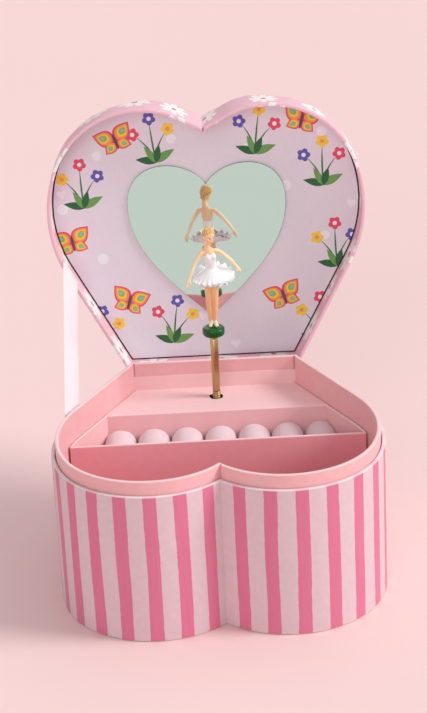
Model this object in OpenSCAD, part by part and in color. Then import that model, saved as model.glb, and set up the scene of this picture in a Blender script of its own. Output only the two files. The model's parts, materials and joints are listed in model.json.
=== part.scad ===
// Heart shaped wind up music box: striped board box with a hinged lid, a lined
// insert with ring rolls, a turning dancer that lies down as the lid closes,
// and a small cylinder movement behind the insert.
// The origin lies on the underside, midway across the heart at its widest
// line. +X is to the viewer's right, +Y to the hinge, +Z up.

/* [Heart outline] */
// Overall width of the heart, side to side
overall_width = 160; // [150:1:165]
// Half width of the straight back edge
back_half_width = 43.5; // [42:0.5:45]
// Distance from the widest line to the back edge
back_y = 84; // [82:0.5:86]
// Radius of the side curve
side_radius = 65; // [63:0.5:67]
// Radius of each front lobe
lobe_radius = 46.5; // [45:0.5:48]
// Angle below the widest line where side curve meets lobe
lobe_start = 20.6; // [18:0.2:23]

/* [Box] */
// Height of the striped outer wall
shell_height = 76.6; // [74:0.2:80]
// Thickness of the outer wall
shell_wall = 2; // [1.6:0.1:2]
// Thickness of the base board
base_board_t = 2; // [1.6:0.1:2.4]
// Height the collar stands above the outer wall
collar_rise = 6.8; // [6.4:0.1:7.2]
// Distance from the outer face to the collar's outer face
collar_inset = 2.2; // [2.2:0.05:2.4]
// Thickness of the collar
collar_wall = 1.8; // [1.6:0.1:1.8]

/* [Insert] */
// Depth of the insert's top below the collar's top edge
insert_drop = 14.8; // [14.4:0.2:15.2]
// Thickness of the insert's boards
card_t = 1.3; // [1:0.1:1.3]
// Depth of the deck from the box's back edge to its front edge
deck_depth = 33; // [32.8:0.1:33.4]
// Front face of the divider, from the widest line
divider_front = 17.6; // [17:0.2:18]
// Depth of the ring tray below the top of the insert
tray_depth = 24; // [23.6:0.2:24.6]

/* [Ring rolls] */
// Number of rolls is seven, and this is the distance between their centres
roll_pitch = 16.8; // [16.6:0.1:16.8]
// Radius of each roll
roll_r = 8.3; // [8:0.1:8.3]
// Centre of the middle roll, to the right of the middle
roll_shift = 1.6; // [1:0.2:2]

/* [Lid] */
// Angle the lid stands open from closed
lid_open = 96; // [90:1:96]
// Depth of the lid
lid_depth = 18; // [17.6:0.1:18.4]
// Gap left under the shut lid's lip
lid_seat_gap = 0.1; // [0.1:0.05:0.2]
// Thickness of the lid's rim
rim_wall = 1.7; // [1.5:0.1:1.7]
// Depth of the lining's face behind the lid's lip
lining_depth = 15.8; // [15.6:0.1:16]
// Thickness of the mirror
mirror_t = 1.1; // [0.8:0.1:1.2]
// Width of the heart shaped mirror
mirror_width = 80.6; // [76:0.2:82]
// Thickness of the ribbon stay
ribbon_t = 0.28; // [0.25:0.01:0.3]

/* [Dancer] */
// Spindle axis, to the right of the middle
spindle_x = 0.6; // [0:0.2:1]
// Distance from the spindle to the box's back edge
spindle_back = 16; // [15.9:0.1:16.1]
// Outer radius of the brass stand
tube_r = 1.95; // [1.8:0.05:2]
// Height of the stand's fold above the insert
fold_rise = 2.4; // [2.4:0.1:2.8]
// Length of the stand from its fold to the green disc
stand_length = 30.5; // [30:0.5:31]
// Radius of the green disc
disc_r = 5.6; // [5:0.1:6]
// Thickness of the green disc
disc_t = 5.7; // [5:0.1:6]
// Height of the dancer, feet to crown
figure_height = 55.4; // [54:0.1:55.4]

/* [Movement] */
// Depth of the winding arbor below the top of the insert
arbor_drop = 32.6; // [32.4:0.1:32.8]
// Radius of the winding arbor
arbor_r = 1.5; // [1.4:0.05:1.5]
// Radial running clearance of the pivots
run_fit = 0.04; // [0.03:0.01:0.06]
// Radius of the music cylinder
cylinder_r = 6.5; // [6.4:0.1:6.5]
// Height of the bedplate
plate_h = 39; // [38:0.5:40]
// Width of the front plate
front_plate_w = 43; // [42:0.5:44]
// Height of the front plate
front_plate_h = 25; // [24:0.5:26]
// Number of comb teeth
comb_teeth = 18; // [12:1:18]

/* [Hidden] */
$fn = 48;

side_c = [overall_width / 2 - side_radius, 0];
lobe_c = side_c + (side_radius - lobe_radius) * [cos(-lobe_start), sin(-lobe_start)];
back_reach = norm([back_half_width - side_c[0], back_y]);
tangent_a = atan2(back_y, back_half_width - side_c[0]) - acos(side_radius / back_reach);
side_steps = 16;
lobe_steps = 30;
collar_top = shell_height + collar_rise;
deck_top = collar_top - insert_drop;
deck_front = back_y - deck_depth;
tray_floor_top = deck_top - tray_depth;
arbor_z = deck_top - arbor_drop;
spindle_y = back_y - spindle_back;
fold_z = deck_top + fold_rise;
disc_bottom = fold_z + stand_length;
inner_face = collar_inset + collar_wall;
ins = inner_face + 0.1;
roll_y0 = divider_front + 1.5 + 0.2;
roll_y1 = deck_front - 0.2;
roll_z = tray_floor_top + roll_r;

great_teeth = 48;
cyl_teeth = 20;
drive_teeth = 32;
gov_teeth = 10;
worm_teeth = 16;
peg_count = 30;
peg_r = 9;
pinion_teeth = 10;
gear_m = 0.5;
fine_m = 0.4;
cyl_x = spindle_x + (great_teeth + cyl_teeth) * gear_m / 2 + 0.1;
gov_a = 80;
gov_d = (drive_teeth + gov_teeth) * fine_m / 2 + 0.1;
gov_x = cyl_x + gov_d * cos(gov_a);
gov_z = arbor_z + gov_d * sin(gov_a);
worm_x = gov_x + worm_teeth * fine_m / 2 + 1;
plate_back = back_y - inner_face;
plate_front = plate_back - 1.7;
front_y0 = deck_front + card_t + 0.9;
front_y1 = front_y0 + 1.2;
worm_y = plate_front - 4.1;
// Faces of the wheel pair that the barrel drives, and of the pair that drives the governor
wheel_y = [plate_front - 2.3, plate_front - 0.9];
fine_y = [plate_front - 7.1, plate_front - 5.7];
// Right hand end of the movement, clear of the collar's corner
plate_right = back_half_width - 4;
comb_screw_y = [front_y1 + 4.6, front_y1 + 12.1];
comb_screw_x = plate_right - 4;

// Right half of the heart's outline, moved inwards by d, from back to notch
function half_heart(d) =
  let (s = (back_y - d - (side_radius - d) * sin(tangent_a)) / cos(tangent_a),
       bx = side_c[0] + (side_radius - d) * cos(tangent_a) - s * sin(tangent_a),
       r2 = lobe_radius - d,
       a_end = -180 + acos(lobe_c[0] / r2))
  concat([[bx, back_y - d]],
    [for (i = [0:side_steps]) let (a = tangent_a + (-lobe_start - tangent_a) * i / side_steps)
      side_c + (side_radius - d) * [cos(a), sin(a)]],
    [for (i = [1:lobe_steps]) let (a = -lobe_start + (a_end + lobe_start) * i / lobe_steps)
      i == lobe_steps ? [0, lobe_c[1] + r2 * sin(a_end)] : lobe_c + r2 * [cos(a), sin(a)]]);

// Half width of the heart, moved inwards by d, at distance y from its widest line
function side_x(d, y) = let (r = side_radius - d)
  y > r * sin(tangent_a) ? side_c[0] + (r - y * sin(tangent_a)) / cos(tangent_a)
    : side_c[0] + sqrt(r * r - y * y);

function full_heart(d) =
  let (h = half_heart(d), n = len(h))
  concat(h, [for (i = [n - 2:-1:0]) [-h[i][0], h[i][1]]]);

module heart2d(d) { polygon(full_heart(d)); }
module ring2d(d0, d1) { difference() { heart2d(d0); heart2d(d1); } }
module band2d(y0, y1) { translate([-100, y0]) square([200, y1 - y0]); }
module slab(z0, z1) { translate([0, 0, z0]) linear_extrude(z1 - z0) children(); }

// A round bar along Y, from y0 to y1
module bar_y(x, z, y0, y1, r) { translate([x, y1, z]) rotate([90, 0, 0]) cylinder(h = y1 - y0, r = r); }
module tube_z(x, y, z0, z1, ro, ri) {
  translate([x, y, z0]) difference() {
    cylinder(h = z1 - z0, r = ro);
    translate([0, 0, -1]) cylinder(h = z1 - z0 + 2, r = ri);
  }
}

// The lid's frame: its closed outline lies in XY and its depth runs along Z
module in_lid() {
  translate([0, back_y, shell_height]) rotate([-lid_open, 0, 0]) translate([0, -back_y, 0]) children();
}

// A spur gear's outline with one tooth at angle ph
module gear2d(n, m, ph) {
  p = 360 / n;
  rr = m * (n / 2 - 1.2);
  rp = m * n / 2;
  rt = m * (n / 2 + 0.85);
  polygon([for (i = [0:n - 1]) let (a = ph + p * i) each [
    rr * [cos(a - 0.29 * p), sin(a - 0.29 * p)], rp * [cos(a - 0.21 * p), sin(a - 0.21 * p)],
    rt * [cos(a - 0.1 * p), sin(a - 0.1 * p)], rt * [cos(a + 0.1 * p), sin(a + 0.1 * p)],
    rp * [cos(a + 0.21 * p), sin(a + 0.21 * p)], rr * [cos(a + 0.29 * p), sin(a + 0.29 * p)]]]);
}

// A spur gear with its axis along Y, from y0 to y1, on a bore of radius rb
module gear_y(x, z, y0, y1, n, m, ph, rb) {
  translate([x, y1, z]) rotate([90, 0, 0]) difference() {
    linear_extrude(y1 - y0) gear2d(n, m, ph);
    translate([0, 0, -1]) cylinder(h = y1 - y0 + 2, r = rb);
  }
}

screw_at = [[-11, arbor_z + 22], [plate_right - 3.5, arbor_z + 22], [12, arbor_z - 10]];

module back_holes(y0, y1) {
  bar_y(spindle_x, arbor_z, y0, y1, 3.4);
  for (p = screw_at) bar_y(p[0], p[1], y0, y1, 1.3);
}

module outer_shell() {
  color([0.9, 0.68, 0.76]) difference() {
    slab(0, shell_height) ring2d(0, shell_wall);
    back_holes(back_y - shell_wall - 1, back_y + 1);
  }
}

module base_board() { color([0.86, 0.75, 0.76]) slab(0, base_board_t) heart2d(shell_wall); }

module inner_collar() {
  color([0.93, 0.64, 0.66]) difference() {
    slab(base_board_t, collar_top) ring2d(collar_inset, inner_face);
    back_holes(back_y - inner_face - 1, back_y - shell_wall + 0.1);
  }
}

module floor_liner() { color([0.9, 0.56, 0.6]) slab(base_board_t, base_board_t + 0.8) heart2d(ins); }

module insert_deck() {
  color([0.94, 0.68, 0.7]) difference() {
    slab(deck_top - 1.8, deck_top) intersection() { heart2d(ins); band2d(deck_front, back_y - ins); }
    translate([spindle_x, spindle_y, deck_top - 3]) cylinder(h = 5, r = 3.2);
  }
}

module insert_back_flange() {
  color([0.9, 0.6, 0.63]) slab(deck_top, deck_top + 7.6)
    intersection() { heart2d(ins); band2d(back_y - ins - 0.4, back_y - ins); }
}

module insert_front_wall() {
  color([0.92, 0.62, 0.65]) slab(tray_floor_top - 1.2, deck_top - 1.8)
    intersection() { heart2d(ins); band2d(deck_front, deck_front + card_t); }
}

module tray_floor() {
  color([0.9, 0.58, 0.62]) slab(tray_floor_top - 1.2, tray_floor_top)
    intersection() { heart2d(ins); band2d(divider_front + 1.5, deck_front); }
}

module tray_end(s) {
  color([0.95, 0.72, 0.73]) slab(tray_floor_top, deck_top) intersection() {
    ring2d(ins, ins + card_t);
    band2d(divider_front + 1.5, deck_front);
    translate([s > 0 ? 0 : -100, 0]) square([100, 100]);
  }
}
module tray_end_left() { tray_end(-1); }
module tray_end_right() { tray_end(1); }

module divider() {
  w = side_x(inner_face, divider_front + 1.5) - 1;
  color([0.9, 0.56, 0.6]) translate([-w, divider_front, base_board_t + 0.8])
    cube([2 * w, 1.5, deck_top - base_board_t - 0.8]);
}

module ring_roll(i) {
  x = roll_shift + (i - 4) * roll_pitch;
  color([0.93, 0.76, 0.78]) intersection() {
    bar_y(x, roll_z, roll_y0, roll_y1, roll_r);
    slab(tray_floor_top - 1, deck_top + 5) heart2d(ins + card_t + 0.1);
  }
}
module ring_roll_1() { ring_roll(1); }
module ring_roll_2() { ring_roll(2); }
module ring_roll_3() { ring_roll(3); }
module ring_roll_4() { ring_roll(4); }
module ring_roll_5() { ring_roll(5); }
module ring_roll_6() { ring_roll(6); }
module ring_roll_7() { ring_roll(7); }

module lid_rim() { color([0.88, 0.68, 0.78]) in_lid() slab(lid_seat_gap, lid_depth) ring2d(0, rim_wall); }
module lid_top_board() { color([0.88, 0.68, 0.78]) in_lid() slab(lining_depth + 0.8, lid_depth) heart2d(rim_wall); }
module lid_lining_panel() { color([0.84, 0.76, 0.83]) in_lid() slab(lining_depth, lining_depth + 0.8) heart2d(rim_wall + 0.5); }

// A point of a cubic curve through four control points
function cubic(p, t) = pow(1 - t, 3) * p[0] + 3 * pow(1 - t, 2) * t * p[1] + 3 * (1 - t) * t * t * p[2] + t * t * t * p[3];
mirror_k = mirror_width / 80.6;
mirror_half = mirror_k * concat(
  [for (i = [0:12]) cubic([[0, -10], [9, -24.5], [40.3, -26], [40.3, -0.4]], i / 12)],
  [for (i = [1:12]) cubic([[40.3, -0.4], [40.3, 20], [27, 36], [0, 59.5]], i / 12)]);

module lid_mirror() {
  n = len(mirror_half);
  color([0.74, 0.8, 0.77]) in_lid() translate([0.3, 0, 0]) slab(lining_depth - mirror_t, lining_depth)
    polygon(concat(mirror_half, [for (i = [n - 2:-1:1]) [-mirror_half[i][0], mirror_half[i][1]]]));
}

module hinge_cloth_base() {
  color([0.9, 0.68, 0.76]) translate([-back_half_width + 0.5, back_y, shell_height - 14])
    cube([2 * back_half_width - 1, 0.25, 13.4]);
}
module hinge_cloth_lid() {
  color([0.9, 0.68, 0.76]) in_lid() translate([-back_half_width + 0.5, back_y, 0.6])
    cube([2 * back_half_width - 1, 0.25, 13]);
}

// Where a point of the closed lid stands when the lid is open
function opened(p) = let (y = p[1] - back_y, z = p[2]) [p[0],
  back_y + y * cos(lid_open) + z * sin(lid_open), shell_height - y * sin(lid_open) + z * cos(lid_open)];

// The ribbon is glued inside the lid's rim and runs taut to the collar's left
// side, in two flat lengths that meet at the lid's lip
rib_out = collar_inset - 0.58;
rib_in = rim_wall + 0.32;
rib_y = [divider_front + 4.6, divider_front + 17.8];
rib_lo = [for (y = rib_y) [-side_x(rib_out, y), y, shell_height + 0.6]];
rib_lip = [for (y = rib_y) [-side_x(rib_in, y + 0.7), y + 0.7, 0.3]];
rib_tab = [for (p = rib_lip) [p[0], p[1], 6]];
module ribbon_stay() {
  rows = [rib_lo, [for (p = rib_lip) opened(p)], [for (p = rib_tab) opened(p)]];
  front = [for (r = rows) each r];
  m = len(front);
  color([0.95, 0.88, 0.91]) polyhedron(points = concat(front, [for (p = front) p + [ribbon_t, 0, 0]]), faces = concat(
    [for (i = [0:2:m - 4]) each [[i, i + 1, i + 3], [i, i + 3, i + 2],
      [m + i, m + i + 3, m + i + 1], [m + i, m + i + 2, m + i + 3],
      [i + 1, m + i + 3, i + 3], [i + 1, m + i + 1, m + i + 3],
      [i + 2, m + i, i], [i + 2, m + i + 2, m + i]]],
    [[0, m + 1, 1], [0, m, m + 1], [m - 1, 2 * m - 2, m - 2], [m - 1, 2 * m - 1, 2 * m - 2]]));
}

module spindle_shaft() {
  color([0.72, 0.58, 0.3]) {
    translate([spindle_x, spindle_y, arbor_z + 6.6]) cylinder(h = 23, r = 1.5);
    translate([spindle_x, spindle_y, arbor_z + 15.6]) cylinder(h = 1, r = 2.2);
    translate([spindle_x, spindle_y, deck_top - 4]) cylinder(h = 3.4, r = tube_r);
    translate([spindle_x, spindle_y, deck_top - 0.6]) cylinder(h = 0.8, r = tube_r - 0.6);
  }
}

module spindle_pinion() {
  color([0.75, 0.6, 0.32]) translate([spindle_x, spindle_y, arbor_z + 8.1]) difference() {
    union() {
      cylinder(h = 1.8, r = 2.25);
      for (i = [0:pinion_teeth - 1]) rotate([0, 0, 90 + 360 / pinion_teeth * i])
        translate([1.5, -0.22, 0]) cube([2, 0.44, 1.8]);
    }
    translate([0, 0, -1]) cylinder(h = 4, r = 1.5);
  }
}

module spindle_bracket() {
  color([0.7, 0.71, 0.73]) difference() {
    union() {
      for (z = [14, 24]) translate([spindle_x - 4, spindle_y - 4, arbor_z + z]) cube([8, plate_front - spindle_y + 4, 1.5]);
      translate([spindle_x - 4, plate_front - 1.5, arbor_z + 14]) cube([8, 1.5, 11.5]);
    }
    translate([spindle_x, spindle_y, arbor_z + 12]) cylinder(h = 16, r = 1.5 + run_fit);
  }
}

// Close wound coil at the foot of the stand, where it folds
module fold_spring() {
  wire = 0.22;
  color([0.76, 0.62, 0.34]) translate([spindle_x, spindle_y, 0])
    for (i = [0:8]) translate([0, 0, deck_top - 0.36 + i * 0.43])
      rotate_extrude() translate([tube_r - wire, 0]) circle(r = wire, $fn = 16);
}

module stand_tube() {
  color([0.76, 0.62, 0.34]) tube_z(spindle_x, spindle_y, fold_z + 1, disc_bottom, tube_r, tube_r - 0.35);
}

module stand_disc() {
  b = 1.2;
  color([0.04, 0.4, 0.2]) translate([spindle_x, spindle_y, disc_bottom]) rotate_extrude() polygon(concat([[0, 0]],
    [for (i = [0:6]) [disc_r - b + b * sin(15 * i), b - b * cos(15 * i)]],
    [[disc_r, 2.3], [disc_r - 0.35, 2.6], [disc_r, 2.9]],
    [for (i = [0:6]) [disc_r - b + b * cos(15 * i), disc_t - b + b * sin(15 * i)]], [[0, disc_t]]));
}

foot_z = disc_bottom + disc_t;
// The dancer is drawn 55.4 high, with her feet on the disc and her left shoulder turned back
module in_figure() { translate([spindle_x, spindle_y, foot_z]) scale(figure_height / 55.4) children(); }

module figure_slippers() {
  color([0.95, 0.88, 0.76]) in_figure() for (s = [-1, 1])
    hull() {
      translate([s * 1.3, -1.9, 0.6]) sphere(r = 0.6, $fn = 20);
      translate([s * 1.3, -0.2, 1.4]) sphere(r = 1.35, $fn = 20);
      translate([s * 1.3, 0.9, 0.7]) sphere(r = 0.7, $fn = 20);
    }
}

module limb(a, ra, b, rb) {
  hull() { translate(a) sphere(r = ra, $fn = 18); translate(b) sphere(r = rb, $fn = 18); }
}

// Head and hair are egg shapes about this point
head_at = [-0.6, -4.2, 50.6];
module egg(size, fine) { translate(head_at) rotate([12, 0, 30]) scale(size) sphere(r = 1, $fn = fine); }

module figure_body() {
  color([0.96, 0.7, 0.55]) in_figure() difference() {
    union() {
      for (s = [-1, 1]) {
        translate([s * 1.35, 0, 2.8]) cylinder(h = 8.8, r1 = 1.15, r2 = 1.7);
        translate([s * 1.35, 0, 11.5]) cylinder(h = 14, r1 = 1.7, r2 = 2.1);
      }
      limb([-4.2, -3.9, 42], 1.2, [-8, -5.2, 35.6], 1);
      limb([-8, -5.2, 35.6], 1, [-11.4, -6.7, 26], 0.8);
      limb([3, -1.3, 41.5], 1.2, [8.8, 0.6, 36.4], 1);
      limb([8.8, 0.6, 36.4], 1, [14.6, 2.9, 28], 0.8);
      limb([-4.2, -3.9, 42], 1.2, [3, -1.3, 41.5], 1.2);
      limb([-0.8, -2.7, 41.4], 2, [-1.2, -3.4, 46], 1.3);
      egg([2.6, 3, 4], 32);
    }
    dress();
  }
}

// Skirt and bodice, from the figure's feet. The skirt stands up at her back
module dress() {
  for (under = [0, 1]) hull() {
    translate([1, 0.6, 27.5]) rotate([17, 0, 0]) translate([0, 0, -0.8]) cylinder(h = 1.4, r = 9.8);
    if (under) translate([0.2, 0.4, 23.8]) cylinder(h = 1, r = 3.9);
    else translate([0.3, -0.4, 31]) cylinder(h = 1, r = 3);
  }
  hull() {
    translate([0.3, -0.4, 30]) cylinder(h = 3, r = 3);
    translate([-0.2, -2.4, 39.2]) rotate([0, 0, 20]) scale([1, 0.78, 1]) cylinder(h = 2, r = 3.5);
  }
}

module figure_tutu() { color([0.95, 0.93, 0.94]) in_figure() dress(); }

module figure_hair() {
  color([0.92, 0.75, 0.42]) in_figure() difference() {
    translate([0, 0.2, 0.3]) egg([3, 3.4, 4.45], 36);
    egg([2.6, 3, 4], 32);
    translate(head_at) rotate([0, 0, 30]) translate([-4, -10.6, -8]) cube([8, 10, 10]);
    translate(head_at + [-5, -5, -10]) cube([10, 10, 7.4]);
  }
}

module bedplate() {
  color([0.72, 0.73, 0.75]) difference() {
    translate([-14, plate_front, arbor_z - 13]) cube([plate_right + 14, plate_back - plate_front, plate_h]);
    bar_y(spindle_x, arbor_z, plate_front - 1, plate_back + 1, arbor_r + run_fit);
    bar_y(cyl_x, arbor_z, plate_front - 1, plate_back + 1, 1 + run_fit);
    bar_y(gov_x, gov_z, plate_front - 1, plate_back + 1, 0.6 + run_fit);
    for (p = screw_at) bar_y(p[0], p[1], plate_front - 1, plate_back + 1, 1.1);
  }
}

module front_plate() {
  color([0.72, 0.73, 0.75]) difference() {
    translate([-13, front_y0, arbor_z - front_plate_h / 2]) cube([front_plate_w, front_y1 - front_y0, front_plate_h]);
    bar_y(spindle_x, arbor_z, front_y0 - 1, front_y1 + 1, arbor_r + run_fit);
    bar_y(cyl_x, arbor_z, front_y0 - 1, front_y1 + 1, 1 + run_fit);
    bar_y(gov_x, gov_z, front_y0 - 1, front_y1 + 1, 0.6 + run_fit);
  }
}

module plate_pillars() {
  color([0.75, 0.6, 0.32]) for (p = [[-11, -10], [-11, 10], [28, -9.5]])
    bar_y(p[0], arbor_z + p[1], front_y1, plate_front, 1.2);
}

module spring_barrel() {
  color([0.75, 0.6, 0.32]) translate([spindle_x, front_y1 + 9.8, arbor_z]) rotate([90, 0, 0]) difference() {
    cylinder(h = 9.8, r = 9.3);
    translate([0, 0, -1]) cylinder(h = 10, r = 8.6);
    cylinder(h = 20, r = arbor_r + run_fit);
  }
}

// Spiral strip inside the barrel
module mainspring() {
  turns = 6;
  n = 96;
  r_in = 1.75;
  r_out = 8.45;
  t = 0.3;
  color([0.45, 0.48, 0.55]) translate([spindle_x, front_y1 + 9.4, arbor_z]) rotate([90, 0, 0]) linear_extrude(7.6) polygon(concat(
    [for (i = [0:n]) let (a = 360 * turns * i / n, r = r_in + (r_out - t - r_in) * i / n) r * [cos(a), sin(a)]],
    [for (i = [n:-1:0]) let (a = 360 * turns * i / n, r = r_in + t + (r_out - t - r_in) * i / n) r * [cos(a), sin(a)]]));
}

module winding_arbor() { color([0.7, 0.72, 0.75]) bar_y(spindle_x, arbor_z, front_y0 - 0.3, back_y + 4, arbor_r); }

module great_wheel() {
  color([0.75, 0.6, 0.32]) gear_y(spindle_x, arbor_z, wheel_y[0], wheel_y[1], great_teeth, gear_m, 0, arbor_r);
}

module crown_wheel() {
  color([0.75, 0.6, 0.32]) {
    translate([spindle_x, spindle_y + 6.4, arbor_z]) rotate([90, 0, 0]) difference() {
      cylinder(h = 1.2, r = peg_r + 0.6);
      translate([0, 0, -1]) cylinder(h = 4, r = arbor_r);
    }
    for (i = [0:peg_count - 1]) bar_y(spindle_x + peg_r * cos(360 / peg_count * i), arbor_z + peg_r * sin(360 / peg_count * i), spindle_y + 2.3, spindle_y + 5.4, 0.3);
  }
}

module winding_key() {
  color([0.78, 0.64, 0.36]) {
    difference() {
      bar_y(spindle_x, arbor_z, back_y + 2, back_y + 11, 3.1);
      bar_y(spindle_x, arbor_z, back_y, back_y + 4, arbor_r);
    }
    translate([spindle_x, back_y + 12, arbor_z - 1]) linear_extrude(2) difference() {
      union() { for (s = [-1, 1]) translate([s * 7, 0]) circle(r = 6); translate([-5, -3]) square([10, 6]); }
      for (s = [-1, 1]) translate([s * 7.4, 0]) circle(r = 2.9);
    }
  }
}

module music_cylinder() {
  color([0.78, 0.66, 0.38]) {
    translate([cyl_x, front_y1 + 16, arbor_z]) rotate([90, 0, 0]) difference() {
      cylinder(h = 15, r = cylinder_r);
      translate([0, 0, -1]) cylinder(h = 17, r = 1);
    }
    for (i = [0:39]) translate([cyl_x, front_y1 + 1.9 + 0.76 * (i * 7 % 18), arbor_z]) rotate([0, 9 * i + (i * i * 5 % 4), 0])
      translate([0, 0, cylinder_r - 0.5]) cylinder(h = 0.9, r = 0.2, $fn = 16);
  }
}

module cylinder_arbor() { color([0.7, 0.72, 0.75]) bar_y(cyl_x, arbor_z, front_y0 - 0.3, plate_back - 0.3, 1); }

module cylinder_wheels() {
  color([0.75, 0.6, 0.32]) {
    gear_y(cyl_x, arbor_z, wheel_y[0], wheel_y[1], cyl_teeth, gear_m, 180 + 180 / cyl_teeth, 1);
    gear_y(cyl_x, arbor_z, fine_y[0], fine_y[1], drive_teeth, fine_m, gov_a, 1);
  }
}

comb_x = cyl_x + cylinder_r + 0.55;
module comb() {
  p = 13.68 / comb_teeth;
  color([0.72, 0.74, 0.77]) translate([0, 0, arbor_z - 0.35]) linear_extrude(0.7) difference() {
    translate([comb_x, front_y1 + 1.3]) square([plate_right - 0.5 - comb_x, 14.4]);
    for (i = [0:comb_teeth - 2]) translate([comb_x - 1, front_y1 + 1.9 + p * (i + 0.5) - 0.09]) square([7.2, 0.18]);
    for (y = comb_screw_y) translate([comb_screw_x, y]) circle(r = 1);
  }
}

module comb_bracket() {
  color([0.72, 0.73, 0.75]) difference() {
    union() {
      translate([plate_right - 7.5, front_y1 + 0.6, arbor_z - 8]) cube([7.4, 15.6, 7.65]);
      translate([plate_right - 7.5, front_y1 + 16, arbor_z - 8]) cube([7.4, plate_front - front_y1 - 16, 3]);
    }
    for (y = comb_screw_y) translate([comb_screw_x, y, arbor_z - 5]) cylinder(h = 6, r = 1);
  }
}

module comb_screws() {
  color([0.6, 0.62, 0.66]) for (y = comb_screw_y) {
    translate([comb_screw_x, y, arbor_z - 4.5]) cylinder(h = 5, r = 1);
    translate([comb_screw_x, y, arbor_z + 0.35]) difference() {
      cylinder(h = 1.1, r = 1.9);
      translate([-3, -0.25, 0.6]) cube([6, 0.5, 1]);
    }
  }
}

module governor_wheel() {
  color([0.75, 0.6, 0.32]) {
    bar_y(gov_x, gov_z, front_y0 - 0.3, plate_back - 0.3, 0.6);
    gear_y(gov_x, gov_z, fine_y[0], fine_y[1], gov_teeth, fine_m, gov_a + 180 + 180 / gov_teeth, 0.5);
    gear_y(gov_x, gov_z, worm_y - 0.5, worm_y + 0.5, worm_teeth, fine_m, 0, 0.5);
  }
}

module governor_frame() {
  color([0.72, 0.73, 0.75]) difference() {
    for (z = [arbor_z + 2.2, arbor_z + 14.4]) {
      translate([worm_x - 1.5, worm_y - 1.3, z]) cube([5, 2.9, 1]);
      translate([worm_x + 0.7, worm_y + 1.4, z]) cube([2.8, plate_front - worm_y - 1.4, 1]);
    }
    translate([worm_x, worm_y, arbor_z - 6]) cylinder(h = 30, r = 0.4 + run_fit);
  }
}

// Single start worm with its shaft and the two blade air brake
module worm_fan() {
  pitch = PI * fine_m;
  color([0.75, 0.6, 0.32]) translate([worm_x, worm_y, 0]) {
    translate([0, 0, arbor_z + 1.9]) cylinder(h = 17.5, r = 0.4);
    translate([0, 0, gov_z - 1.5 * pitch]) linear_extrude(3 * pitch, twist = -360 * 3, slices = 42)
      translate([-0.3, 0]) circle(r = 0.75, $fn = 13);
    translate([-3.4, -0.2, arbor_z + 15.6]) cube([6.8, 0.4, 3.6]);
    translate([0, 0, arbor_z + 15.5]) cylinder(h = 3.9, r = 0.7);
  }
}

module mounting_screws() {
  color([0.6, 0.62, 0.66]) for (p = screw_at) {
    bar_y(p[0], p[1], plate_front + 0.2, back_y, 1.1);
    translate([p[0], back_y, p[1]]) rotate([-90, 0, 0]) difference() {
      cylinder(h = 1.2, r1 = 2.5, r2 = 1.9);
      for (a = [0, 90]) rotate([0, 0, a]) translate([-1.4, -0.25, 0.6]) cube([2.8, 0.5, 1]);
    }
  }
}

outer_shell();
base_board();
inner_collar();
floor_liner();
insert_deck();
insert_back_flange();
insert_front_wall();
tray_floor();
tray_end_left();
tray_end_right();
divider();
ring_roll_1();
ring_roll_2();
ring_roll_3();
ring_roll_4();
ring_roll_5();
ring_roll_6();
ring_roll_7();
lid_rim();
lid_top_board();
lid_lining_panel();
lid_mirror();
hinge_cloth_base();
hinge_cloth_lid();
ribbon_stay();
spindle_shaft();
spindle_pinion();
spindle_bracket();
fold_spring();
stand_tube();
stand_disc();
figure_slippers();
figure_body();
figure_tutu();
figure_hair();
bedplate();
front_plate();
plate_pillars();
spring_barrel();
mainspring();
winding_arbor();
great_wheel();
crown_wheel();
winding_key();
music_cylinder();
cylinder_arbor();
cylinder_wheels();
comb();
comb_bracket();
comb_screws();
governor_wheel();
governor_frame();
worm_fan();
mounting_screws();
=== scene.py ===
import json
import math
import random

import bmesh
import bpy
from mathutils import Matrix, Vector
from mathutils.geometry import delaunay_2d_cdt

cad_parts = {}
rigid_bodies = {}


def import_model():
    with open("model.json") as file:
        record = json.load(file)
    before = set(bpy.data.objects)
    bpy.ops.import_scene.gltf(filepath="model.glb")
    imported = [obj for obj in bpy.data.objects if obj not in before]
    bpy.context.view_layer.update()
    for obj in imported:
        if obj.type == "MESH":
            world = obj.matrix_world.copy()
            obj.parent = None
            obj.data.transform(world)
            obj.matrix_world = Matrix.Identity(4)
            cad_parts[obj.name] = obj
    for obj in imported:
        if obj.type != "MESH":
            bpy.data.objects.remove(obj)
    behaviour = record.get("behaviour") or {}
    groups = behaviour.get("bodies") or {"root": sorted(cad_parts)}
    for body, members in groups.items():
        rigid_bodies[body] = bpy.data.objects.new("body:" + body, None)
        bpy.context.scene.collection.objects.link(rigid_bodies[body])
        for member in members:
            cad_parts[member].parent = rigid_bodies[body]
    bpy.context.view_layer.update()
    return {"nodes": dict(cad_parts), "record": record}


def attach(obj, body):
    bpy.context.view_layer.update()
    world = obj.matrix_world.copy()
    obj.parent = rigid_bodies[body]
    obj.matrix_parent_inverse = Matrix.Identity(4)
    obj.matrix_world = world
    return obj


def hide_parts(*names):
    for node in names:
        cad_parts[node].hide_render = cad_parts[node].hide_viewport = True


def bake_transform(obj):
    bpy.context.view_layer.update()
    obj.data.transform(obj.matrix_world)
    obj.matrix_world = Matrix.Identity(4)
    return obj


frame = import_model()
scene = bpy.context.scene
MM = 0.001
# Heights and depths of the box that several pieces share, in millimetres
BASE_TOP, LINER_TOP, SHELL_TOP, COLLAR_TOP = 2.0, 2.8, 76.6, 83.4
DECK_TOP, DECK_FRONT, TRAY_Z, TRAY_T = 68.6, 51.0, 44.6, 1.2
DIVIDER_FRONT, DIVIDER_BACK = 17.6, 19.1
HOLE_X, HOLE_Y = 0.6, 68.0


def placed(name, data):
    """A new object of the scene."""
    obj = bpy.data.objects.new(name, data)
    scene.collection.objects.link(obj)
    return obj


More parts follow.
